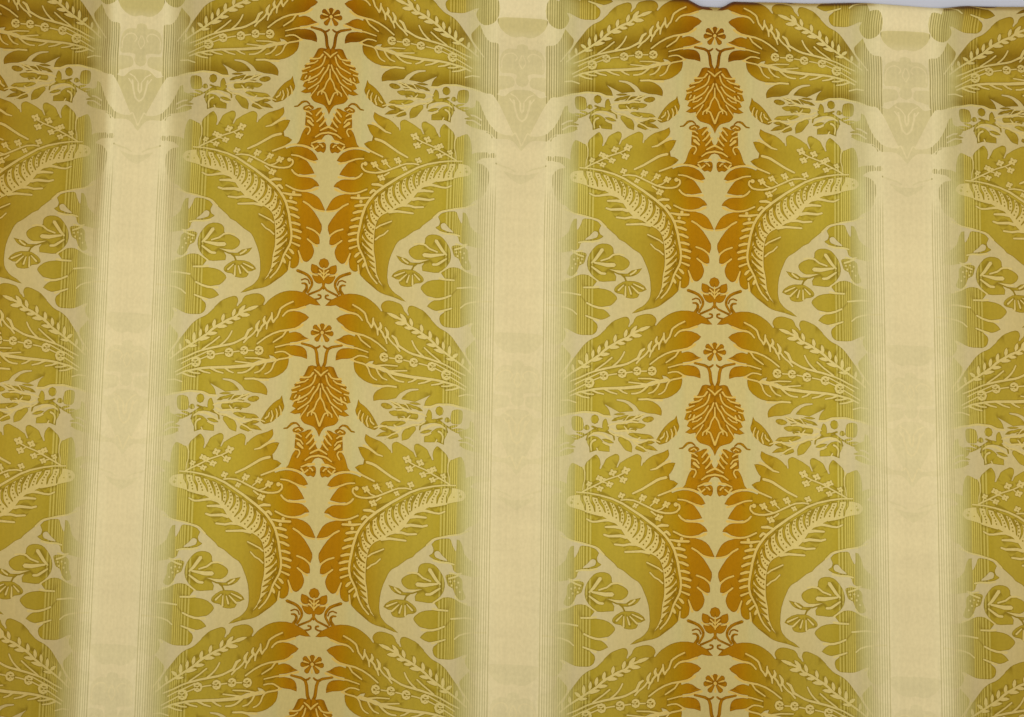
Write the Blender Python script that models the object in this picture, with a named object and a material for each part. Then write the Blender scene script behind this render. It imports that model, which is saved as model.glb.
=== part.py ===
"""A cut length of silk brocade, lying flat with its top edge turned down.

The cloth is one piece. Its own threads give the working coordinates: across runs along the
weft from the middle of the centre stripe, and along runs up the warp from the bottom cut edge.
Everything is in metres but the tables, which are in millimetres. The cloth lies on the XY
plane, with its top edge towards +Y.
"""

import math

import bpy
import bmesh

MM = 0.001

# The woven repeat, and how much of it the piece holds
REPEAT_WIDTH = 0.270
REPEAT_LENGTH = 0.224
REPEATS_ACROSS = 3
REPEATS_UP = 3
REPEATS_BELOW_TOP_FLOWERS = 2.35

# The cloth
CLOTH_THICKNESS = 0.0012
WARP_LEAN = 0.034
STRIPE_HALF_WIDTH = 0.045

# The turned-down top edge, which swells and sinks a little across the cloth
ROLL_RADIUS = 0.0050
ROLL_SWELL = 0.0009
ROLL_SWELL_LENGTH = 0.052
ROLL_RUN = 0.034

# Spacing of the mesh
COLUMN_PITCH = 0.018
NOTCH_COLUMNS = (0.110, 0.155)
ROW_PITCH = 0.0080
TOP_STRETCH = 0.100
TOP_ROWS = 14
ROLL_STEPS = 5
FLAT_ANGLE = math.radians(0.05)

WIDTH = REPEAT_WIDTH * REPEATS_ACROSS
TOP_FLOWERS = REPEAT_LENGTH * REPEATS_BELOW_TOP_FLOWERS

# How far the turned edge lies above the top row of flowers, across the cloth
EDGE_LINE = [
    {"across": -410, "rise": 12.0},
    {"across": -330, "rise": 14.5},
    {"across": -270, "rise": 16.5},
    {"across": -190, "rise": 17.0},
    {"across": -135, "rise": 17.5},
    {"across": -60, "rise": 21.5},
    {"across": 0, "rise": 22.5},
    {"across": 60, "rise": 24.5},
    {"across": 114, "rise": 25.8},
    {"across": 129, "rise": 20.3},
    {"across": 140, "rise": 20.3},
    {"across": 151, "rise": 25.2},
    {"across": 196, "rise": 26.4},
    {"across": 245, "rise": 29.0},
    {"across": 295, "rise": 27.9},
    {"across": 318, "rise": 30.6},
    {"across": 410, "rise": 34.0},
]

# Soft waves across the cloth below the turned edge. Each wanders up and down over wander_length.
WAVES = [
    {"below_edge": 46, "height": 1.5, "half_length": 15, "wander": 3.0, "wander_length": 81},
    {"below_edge": 82, "height": 1.0, "half_length": 17, "wander": 5.0, "wander_length": 60},
]

# Puckers across each pale stripe, below every row of flowers. Each dips at the stripe's middle.
PUCKERS = [
    {"below_flowers": 80, "height": 0.9, "half_length": 8, "dip": 7},
    {"below_flowers": 104, "height": 0.7, "half_length": 8, "dip": 9},
    {"below_flowers": 172, "height": 0.5, "half_length": 10, "dip": -3},
]
PUCKER_FADE = 0.62


def smooth_step(share):
    """0 at 0 and below, 1 at 1 and above, level at both ends."""
    share = min(1.0, max(0.0, share))
    return share * share * (3.0 - 2.0 * share)


def soft_bump(offset, half_length):
    """A rounded crest of height 1 at offset 0 that ends level at half_length."""
    return 1.0 - smooth_step(abs(offset) / half_length)


def edge_rise(across):
    """The rise of the turned edge above the top flowers, eased from one table row to the next."""
    for low, high in zip(EDGE_LINE, EDGE_LINE[1:]):
        if across <= MM * high["across"]:
            share = (across / MM - low["across"]) / (high["across"] - low["across"])
            return MM * (low["rise"] + (high["rise"] - low["rise"]) * smooth_step(share))
    return MM * EDGE_LINE[-1]["rise"]


def roll_radius(across):
    """The height of the turned edge."""
    return ROLL_RADIUS + ROLL_SWELL * math.sin(across / ROLL_SWELL_LENGTH)


def roll_start(across):
    """Where, along the warp, the cloth begins to turn down."""
    return TOP_FLOWERS + edge_rise(across) - roll_radius(across)


def wave_height(across, along):
    """The soft waves near the top edge."""
    total = 0.0
    for wave in WAVES:
        wander = wave["wander"] * math.sin(across / MM / wave["wander_length"])
        offset = roll_start(across) - along - MM * (wave["below_edge"] + wander)
        total += MM * wave["height"] * soft_bump(offset, MM * wave["half_length"])
    return total


def pucker_height(across, along):
    """The puckers of the pale stripes, strongest in the top repeat."""
    from_stripe = across - REPEAT_WIDTH * round(across / REPEAT_WIDTH)
    inside = soft_bump(from_stripe, STRIPE_HALF_WIDTH)
    total = 0.0
    for repeat in range(REPEATS_UP):
        flowers = TOP_FLOWERS - repeat * REPEAT_LENGTH
        for pucker in PUCKERS:
            crest = flowers - MM * (pucker["below_flowers"] + pucker["dip"] * inside)
            bump = soft_bump(along - crest, MM * pucker["half_length"])
            total += MM * pucker["height"] * PUCKER_FADE**repeat * bump
    return total * smooth_step(inside)


def underside_height(across, along):
    """How far the underside stands off the surface that the cloth lies on."""
    run_in = 1.0 - smooth_step((roll_start(across) - along) / ROLL_RUN)
    lying = wave_height(across, along) + pucker_height(across, along)
    return roll_radius(across) * run_in + lying * (1.0 - run_in)


def lying_point(across, along):
    """A point of the underside where the cloth lies face up."""
    lean = WARP_LEAN * (along - TOP_FLOWERS / 2)
    return (across - lean, along - TOP_FLOWERS / 2, underside_height(across, along))


def rolled_point(across, turn):
    """A point of the underside on the turned edge. turn is how far it has turned, as an angle."""
    x, y, height = lying_point(across, roll_start(across))
    return (x, y + height * math.sin(turn), height * math.cos(turn))


def column_places():
    """Places across the cloth, even but for the notch in its top edge, where they are closer."""
    count = round(WIDTH / COLUMN_PITCH)
    even = [-WIDTH / 2 + WIDTH * i / count for i in range(count + 1)]
    table = [MM * row["across"] for row in EDGE_LINE]
    notch = [across for across in table if NOTCH_COLUMNS[0] < across < NOTCH_COLUMNS[1]]
    kept = [x for x in even if all(abs(x - y) > COLUMN_PITCH / 3 for y in notch)]
    return sorted(kept + notch)


def row_places(across):
    """Places up the warp in one column: level with its neighbours' below, then up to the roll."""
    level_end = TOP_FLOWERS - TOP_STRETCH
    lower = round(level_end / ROW_PITCH)
    places = [level_end * i / lower for i in range(lower)]
    rest = roll_start(across) - level_end
    return places + [level_end + rest * i / TOP_ROWS for i in range(TOP_ROWS + 1)]


def sheet_mesh(name):
    """The underside of the cloth as a grid of quads that face up, with its flat stretches merged."""
    mesh = bmesh.new()
    grid = []
    for across in column_places():
        column = [lying_point(across, along) for along in row_places(across)]
        turns = [math.pi / 2 * (i + 1) / ROLL_STEPS for i in range(ROLL_STEPS)]
        column += [rolled_point(across, turn) for turn in turns]
        grid.append([mesh.verts.new(point) for point in column])
    for left, right in zip(grid, grid[1:]):
        for i in range(len(left) - 1):
            mesh.faces.new((left[i], right[i], right[i + 1], left[i + 1]))
    bmesh.ops.dissolve_limit(mesh, angle_limit=FLAT_ANGLE, verts=mesh.verts, edges=mesh.edges)
    data = bpy.data.meshes.new(name)
    mesh.to_mesh(data)
    mesh.free()
    return data


def centre_on_origin(data):
    """Moves the mesh so that the cloth's outline is centred on the origin."""
    overhang = (0.0, CLOTH_THICKNESS)
    for axis in (0, 1):
        places = [vertex.co[axis] for vertex in data.vertices]
        middle = (min(places) + max(places) + overhang[axis]) / 2
        for vertex in data.vertices:
            vertex.co[axis] -= middle


def silk_material():
    """Old-gold silk satin."""
    material = bpy.data.materials.new("gold_silk")
    material.use_nodes = True
    shader = material.node_tree.nodes["Principled BSDF"]
    shader.inputs["Base Color"].default_value = (0.42, 0.30, 0.07, 1.0)
    shader.inputs["Roughness"].default_value = 0.55
    shader.inputs["Metallic"].default_value = 0.0
    return material


def make_panel():
    """The brocade as one closed sheet of even thickness."""
    data = sheet_mesh("brocade_panel")
    centre_on_origin(data)
    data.materials.append(silk_material())
    data.shade_smooth()
    panel = bpy.data.objects.new("brocade_panel", data)
    bpy.context.scene.collection.objects.link(panel)
    thickness = panel.modifiers.new("cloth thickness", "SOLIDIFY")
    thickness.thickness = CLOTH_THICKNESS
    thickness.offset = 1.0
    return panel


for old in list(bpy.data.objects):
    bpy.data.objects.remove(old)
make_panel()
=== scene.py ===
"""The brocade panel dressed as the real cloth: its woven leaves and flowers, stripes and sheen, with shade and
highlights painted into its colour.

The pattern is drawn on half a repeat, from the middle of a gold stripe (side 0) to the
middle of a cream stripe (side 135), and down from a daisy (down 0) to the next one (down 224),
in millimetres. It is then mirrored and repeated, and laid on the cloth's folds. On the cloth,
across runs along the weft from the middle cream stripe, and along runs up the warp from the
bottom cut edge, in metres.
"""

import math

import bmesh
import bpy
import numpy as np
from mathutils import Matrix, Vector
from mathutils.geometry import delaunay_2d_cdt


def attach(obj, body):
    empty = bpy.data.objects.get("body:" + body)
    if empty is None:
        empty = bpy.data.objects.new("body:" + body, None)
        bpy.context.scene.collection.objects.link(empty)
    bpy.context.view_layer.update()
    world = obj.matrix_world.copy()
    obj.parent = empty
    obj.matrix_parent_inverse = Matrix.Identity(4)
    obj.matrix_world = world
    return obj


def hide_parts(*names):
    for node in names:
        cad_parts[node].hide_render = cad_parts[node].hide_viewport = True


MM = 0.001

# The cloth, as in the solid
REPEAT_WIDTH = 0.270
REPEAT_LENGTH = 0.224
REPEATS_ACROSS = 3
REPEATS_UP = 3
REPEATS_BELOW_TOP_FLOWERS = 2.35
CLOTH_THICKNESS = 0.0012
WARP_LEAN = 0.034
STRIPE_HALF_WIDTH = 0.045
ROLL_RADIUS = 0.0050
ROLL_SWELL = 0.0009
ROLL_SWELL_LENGTH = 0.052
ROLL_RUN = 0.034
WIDTH = REPEAT_WIDTH * REPEATS_ACROSS
TOP_FLOWERS = REPEAT_LENGTH * REPEATS_BELOW_TOP_FLOWERS
MIDDLE_SHIFT = (0.00013, -0.01759)

# How far the turned edge lies above the top row of flowers, across the cloth, in millimetres
EDGE_ACROSS = [-410, -330, -270, -190, -135, -60, 0, 60, 114, 129, 140, 151, 196, 245, 295, 318, 410]
EDGE_RISE = [
    12.0, 14.5, 16.5, 17.0, 17.5, 21.5, 22.5, 24.5, 25.8, 20.3, 20.3, 25.2, 26.4, 29.0, 27.9, 30.6, 34.0
]

WAVES = [
    {"below_edge": 46, "height": 1.5, "half_length": 15, "wander": 3.0, "wander_length": 81},
    {"below_edge": 82, "height": 1.0, "half_length": 17, "wander": 5.0, "wander_length": 60},
]
PUCKERS = [
    {"below_flowers": 80, "height": 0.9, "half_length": 8, "dip": 7},
    {"below_flowers": 104, "height": 0.7, "half_length": 8, "dip": 9},
    {"below_flowers": 172, "height": 0.5, "half_length": 10, "dip": -3},
]
PUCKER_FADE = 0.62

# How the woven threads lie off true, in millimetres. Places across are measured from the middle cream
# stripe, and rows below from the top row of flowers.
STRIPE_PLACES = [-405, -370, -315, -245, -45, 135, 405]
STRIPES_RIGHT = [0.0, 5.0, 5.0, 0.0, -0.3, 0.4, 0.4]
ROW_PLACES = [-50, 10, 60, 100, 150, 190, 235, 300, 400, 530]
ROWS_RIGHT = [1.0, 1.1, 1.3, 1.1, 0.6, 0.8, 0.8, 0.7, 0.55, 0.4]
ROWS_DOWN = [0.0, -0.6, -1.7, -1.9, -2.0, -1.6, 0.0, 0.0, 0.0, 0.0]
WEFT_PLACES = [
    -405, -370, -315, -255, -225, -195, -165, -135, -105, -75, -45, 0, 45, 75, 105, 135, 165, 225, 405
]
WEFTS_DOWN = [
    1.0, 3.5, 3.8, 4.0, 3.5, 2.7, 1.6, 1.0, 1.9, 3.5, 4.4, 5.0, 4.9, 4.0, 2.5, 1.0, 0.7, 0.5, 0.5
]
SLIP_FADE = 0.04

# The half repeat that is charted, in millimetres
HALF_WIDTH = 135.0
LENGTH = 224.0
TILE_TOP = 78.4
TILE_BOTTOM = TILE_TOP + LENGTH
GRID_PITCH = 8.0
GRID_CLEARANCE = 1.0
CURVE_STEP = 1.6
OUTLINE_TOLERANCE = 0.16
WELD = 0.01
STRAIGHTNESS = 0.13
RIM_WIDTH = 0.75
RIM_SPACING = 2.4
# Lines cut along the turned edge, in millimetres before the cloth's end
TURN_LINES = [0.0, 2.4, 4.8, 7.2, 9.6]

GROUND = 0
FIGURE = 1
LIGHT = 2
TIP = "tip"


def smooth_step(share):
    """0 at 0 and below, 1 at 1 and above, level at both ends."""
    share = np.clip(share, 0.0, 1.0)
    return share * share * (3.0 - 2.0 * share)


def soft_bump(offset, half_length):
    """A rounded crest of height 1 at offset 0 that ends level at half_length."""
    return 1.0 - smooth_step(np.abs(offset) / half_length)


def edge_rise(across):
    """The rise of the turned edge above the top flowers, eased from one table place to the next."""
    places = np.array(EDGE_ACROSS) * MM
    rises = np.array(EDGE_RISE) * MM
    low = np.clip(np.searchsorted(places, across) - 1, 0, len(places) - 2)
    share = (across - places[low]) / (places[low + 1] - places[low])
    return rises[low] + (rises[low + 1] - rises[low]) * smooth_step(share)


def roll_radius(across):
    """The height of the turned edge."""
    return ROLL_RADIUS + ROLL_SWELL * np.sin(across / ROLL_SWELL_LENGTH)


def roll_start(across):
    """Where, along the warp, the cloth begins to turn down."""
    return TOP_FLOWERS + edge_rise(across) - roll_radius(across)


def cloth_end(across):
    """Where, along the warp, the turned edge meets the surface below."""
    return roll_start(across) + (roll_radius(across) + CLOTH_THICKNESS) * math.pi / 2


def underside_height(across, along):
    """How far the underside stands off the surface that the cloth lies on."""
    below = roll_start(across) - along
    lying = np.zeros_like(across)
    for wave in WAVES:
        wander = wave["wander"] * np.sin(across / MM / wave["wander_length"])
        offset = below - MM * (wave["below_edge"] + wander)
        lying += MM * wave["height"] * soft_bump(offset, MM * wave["half_length"])
    from_stripe = across - REPEAT_WIDTH * np.round(across / REPEAT_WIDTH)
    inside = soft_bump(from_stripe, STRIPE_HALF_WIDTH)
    puckers = np.zeros_like(across)
    for repeat in range(REPEATS_UP):
        for pucker in PUCKERS:
            crest = TOP_FLOWERS - repeat * REPEAT_LENGTH
            crest = crest - MM * (pucker["below_flowers"] + pucker["dip"] * inside)
            bump = soft_bump(along - crest, MM * pucker["half_length"])
            puckers += MM * pucker["height"] * PUCKER_FADE**repeat * bump
    lying += puckers * smooth_step(inside)
    run_in = 1.0 - smooth_step(below / ROLL_RUN)
    return roll_radius(across) * run_in + lying * (1.0 - run_in)


def cloth_points(across, along, above):
    """Places in the panel's frame of points that lie above the underside by the given amount."""
    start = roll_start(across)
    flat = np.minimum(along, start)
    turn = np.clip((along - start) / (roll_radius(across) + CLOTH_THICKNESS), 0.0, math.pi / 2)
    height = underside_height(across, flat) + above
    x = across - WARP_LEAN * (flat - TOP_FLOWERS / 2)
    y = flat - TOP_FLOWERS / 2 + height * np.sin(turn)
    z = height * np.cos(turn)
    return np.column_stack((x - MIDDLE_SHIFT[0], y + MIDDLE_SHIFT[1], z))


def cloth_normals(across, along, above):
    """Which way the cloth faces at each point."""
    step = 0.0004
    right = cloth_points(across + step, along, above) - cloth_points(across - step, along, above)
    up = cloth_points(across, along + step, above) - cloth_points(across, along - step, above)
    facing = np.cross(right, up)
    return facing / np.linalg.norm(facing, axis=1, keepdims=True)


def slipped(across, along):
    """Where threads lie on the cloth that would cross at the given place if the weave were true."""
    below = (TOP_FLOWERS - along) / MM
    right = np.interp(across / MM, STRIPE_PLACES, STRIPES_RIGHT) + np.interp(below, ROW_PLACES, ROWS_RIGHT)
    down = np.interp(across / MM, WEFT_PLACES, WEFTS_DOWN) + np.interp(below, ROW_PLACES, ROWS_DOWN)
    from_side = WIDTH / 2 - np.abs(across)
    return (across + MM * right * smooth_step(from_side / SLIP_FADE),
            along - MM * down * smooth_step(along / SLIP_FADE))


def thinned(path):
    """The path without the points that its shape doesn't need."""
    path = np.asarray(path)
    if len(path) < 3:
        return path
    start, end = path[0], path[-1]
    chord = end - start
    length = np.hypot(*chord)
    offsets = path - start
    if length < 1e-9:
        away = np.hypot(offsets[:, 0], offsets[:, 1])
    else:
        away = np.abs(offsets[:, 0] * chord[1] - offsets[:, 1] * chord[0]) / length
    far = int(np.argmax(away))
    if away[far] <= OUTLINE_TOLERANCE:
        return np.array([start, end])
    return np.vstack((thinned(path[: far + 1])[:-1], thinned(path[far:])))


def curve_between(before, start, end, after):
    """Points from start up to end on a smooth curve that knows its neighbours."""
    before = 2 * start - end if before is None else before
    after = 2 * end - start if after is None else after
    first = max(math.dist(before, start), 1e-6) ** 0.5
    middle = max(math.dist(start, end), 1e-6) ** 0.5
    last = max(math.dist(end, after), 1e-6) ** 0.5
    leave = end - start + middle * ((start - before) / first - (end - before) / (first + middle))
    arrive = end - start + middle * ((after - end) / last - (after - start) / (middle + last))
    steps = max(2, math.ceil(math.dist(start, end) / CURVE_STEP))
    share = (np.arange(steps) / steps)[:, None]
    cubic = 2 * (start - end) + leave + arrive
    square = 3 * (end - start) - 2 * leave - arrive
    return start + share * leave + share**2 * square + share**3 * cubic


def smooth_path(points, closed):
    """The points joined by a smooth curve, which turns sharply only where a point is a tip."""
    places = [np.array(point[:2], float) for point in points]
    sharp = [len(point) > 2 for point in points]
    count = len(places)
    pieces = []
    for i in range(count if closed else count - 1):
        here, there = i, (i + 1) % count
        before = None if sharp[here] or (not closed and i == 0) else places[i - 1]
        alone = sharp[there] or (not closed and i == count - 2)
        after = None if alone else places[(i + 2) % count]
        pieces.append(curve_between(before, places[here], places[there], after))
    pieces.append([places[0] if closed else places[-1]])
    path = np.vstack(pieces)
    if not closed:
        return thinned(path)
    half = len(path) // 2
    return np.vstack((thinned(path[: half + 1])[:-1], thinned(path[half:])))[:-1]


class Chart:
    """The drawing of half a repeat. Each shape covers the ones before it."""

    def __init__(self):
        self.shapes = []

    def outline(self, weave, path):
        """A closed shape with straight sides."""
        self.shapes.append((weave, np.asarray(path, float)))

    def fill(self, weave, points):
        """A closed shape with a smooth outline."""
        self.outline(weave, smooth_path(points, closed=True))

    def line(self, weave, points, *widths):
        """A line of the given width, or whose width changes evenly from one value to the next."""
        path = smooth_path(points, closed=False)
        steps = np.diff(path, axis=0)
        lengths = np.hypot(steps[:, 0], steps[:, 1])
        steps = steps / lengths[:, None]
        ahead = np.vstack((steps, steps[-1:])) + np.vstack((steps[:1], steps))
        ahead /= np.hypot(ahead[:, 0], ahead[:, 1])[:, None]
        share = np.concatenate(([0.0], np.cumsum(lengths))) / lengths.sum()
        width = np.interp(share, np.linspace(0, 1, len(widths)), widths)[:, None]
        sideways = np.column_stack((-ahead[:, 1], ahead[:, 0])) * width / 2
        foot = path[:1] - ahead[:1] * width[0] * 0.45
        head = path[-1:] + ahead[-1:] * width[-1] * 0.45
        self.outline(weave, np.vstack((foot, path + sideways, head, (path - sideways)[::-1])))

    def leaflet(self, weave, foot, tip, width):
        """A small pointed leaf."""
        foot, tip = np.array(foot, float), np.array(tip, float)
        run = tip - foot
        side = np.array((-run[1], run[0])) / np.hypot(*run) * width / 2
        shares = [(0.0, 0.2), (0.35, 1.0), (0.75, 0.8), (1.0, 0.1)]
        left = [foot + run * along + side * out for along, out in shares]
        right = [foot + run * along - side * out for along, out in reversed(shares)]
        self.outline(weave, left + right)

    def dot(self, weave, middle, radius, squash=1.0):
        """A round spot, or an upright or lying oval one."""
        corners = 6 if radius < 1.0 else 8
        turns = [2 * math.pi * i / corners for i in range(corners)]
        ring = [(radius * math.cos(a), radius * squash * math.sin(a)) for a in turns]
        self.outline(weave, np.array(middle) + np.array(ring))

    def blossom(self, middle, size):
        """A tiny ragged flower of four petals, as the twigs carry."""
        side, down = middle
        for turn, reach, wide in ((200, 1.15, 0.9), (290, 1.05, 0.8), (20, 1.1, 0.95), (110, 1.0, 0.7)):
            angle = math.radians(turn)
            tip = (side + size * reach * math.cos(angle), down + size * reach * math.sin(angle))
            self.leaflet(LIGHT, (side, down), tip, size * wide)
        self.dot(FIGURE, (side, down), size * 0.2)


def draw_cream_motifs(chart):
    """The figures that stand tone on tone in the cream stripe, and the striped ones on its border."""
    # The big shell's lower lobes
    chart.fill(FIGURE, [(117.5, -8.4), (118.4, -4), (121, -0.4), (125, 2.6), (129, 3.8), (132, 3.6),
                        (135, 2.8),
                        (140, 2.8), (140, -10.4), (135, -10), (127, -9.8), (121, -9.6)])
    chart.fill(FIGURE, [(102.3, -10.6), (103.6, -14), (106.4, -17.6), (108, -22), (116, -24), (119, -17),
                        (118.4, -11), (116, -6.6), (112, -4), (108, -3.4), (104.4, -5.6)])
    chart.line(LIGHT, [(101, -12.4), (104, -15.6), (106.6, -19.6), (107.6, -24)], 1.2, 0.9)
    # The bracket below it, its curls and the drop that hangs from it
    chart.fill(FIGURE, [(131.4, 9.4), (137, 8.8), (137, 40), (134, 39.8), (131.4, 38.2), (130.4, 35.2),
                        (131.2, 31.8), (128, 30.4), (120.2, 30.2), (119.2, 24), (120, 17.4), (122, 14),
                        (126.4, 11.8), (130.8, 12)])
    chart.line(LIGHT, [(120.6, 27), (121, 20), (124, 16.4), (128.6, 15.6), (131.4, 18.6), (130, 21.6)], 0.9)
    chart.line(LIGHT, [(134.6, 17), (132.6, 22.4), (134.8, 27)], 0.9, 0.7)
    chart.fill(FIGURE, [(118.6, 33.2), (124, 32.8), (128.4, 33.4), (129.8, 37.6), (128.4, 40.2),
                        (124, 41.6),
                        (119.4, 42.8)])
    # The long pointed leaf, with feathers inside it
    chart.fill(FIGURE, [(114, 45.4), (118.6, 47), (122.6, 47.6), (126, 44.6), (129.6, 42.4), (133, 42.2),
                        (137, 42.4), (137, 87), (135, 87), (131.4, 82.4), (128, 79.6), (124, 78.8),
                        (116.4, 78.6), (116, 73.4), (121, 75.2), (126, 76), (129, 75.2), (127.4, 71),
                        (124.4, 65), (121.2, 58), (117.8, 51.6)])
    chart.line(LIGHT, [(129.2, 50), (130.4, 57.6), (132.4, 63.4), (137, 66.8)], 1.5, 1.2)
    chart.line(LIGHT, [(133.8, 52), (134.2, 58), (137, 61)], 1.3)
    chart.line(LIGHT, [(127, 45.4), (130.6, 47.4), (133.6, 51.4)], 0.9)
    chart.line(LIGHT, [(126.4, 49), (129, 52.6)], 0.9)
    chart.line(LIGHT, [(128.2, 75.8), (130.6, 74), (132.4, 77), (134.8, 83)], 1.0)
    # The leaf beside the wing leaf, and the fading end of the spray
    chart.fill(FIGURE, [(99, 3.4), (101.4, 0.4), (105, -3.6, TIP), (106.6, 0), (108.6, 4.4), (112.4, 8),
                        (118, 9), (118.4, 24), (118, 36), (110, 30), (105, 22), (102, 12), (100, 8)])
    chart.line(LIGHT, [(97.4, 5), (101, 10), (104.6, 15), (108, 20)], 0.9)
    chart.fill(FIGURE, [(107.4, 37), (118, 35.4), (118.6, 45.6), (114, 47), (110, 44)])
    chart.fill(FIGURE, [(98, 58.6), (102, 57), (103, 52, TIP), (105, 53), (107, 58), (109.6, 64),
                        (112.6, 69),
                        (116.4, 73), (116.6, 78.4), (112, 74.2), (105, 72.8), (98, 70.6), (96, 68),
                        (99, 65), (95.6, 62)])
    chart.line(GROUND, [(97, 63.4), (102, 63.6), (107, 66.4)], 1.1)
    chart.line(GROUND, [(96, 66.8), (101, 67), (106.4, 70)], 1.1)
    chart.line(FIGURE, [(110.8, 74.6), (113, 75.6), (114.6, 78.6)], 0.9)
    # The ends of the great leaf's lobes, and the chevron between them
    chart.fill(FIGURE, [(100, 92), (103, 90), (107, 89.4), (112, 89.4), (113, 92.6), (108, 93.6), (104, 97),
                        (108, 98), (112.4, 102), (112.4, 113), (109, 121), (104, 124), (98, 124), (98, 96)])
    chart.fill(FIGURE, [(113.4, 90), (117, 89.6), (117.4, 92.4), (113.6, 92.6)])
    chart.line(FIGURE, [(117.4, 96.6), (121, 98), (127, 99.6), (131, 101.8)], 1.1)
    chart.fill(FIGURE, [(122.6, 101.4), (127, 103), (131, 104), (137, 104.4), (137, 110.6), (135, 110.8),
                        (130.4, 108.6), (126, 105.4)])


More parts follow.
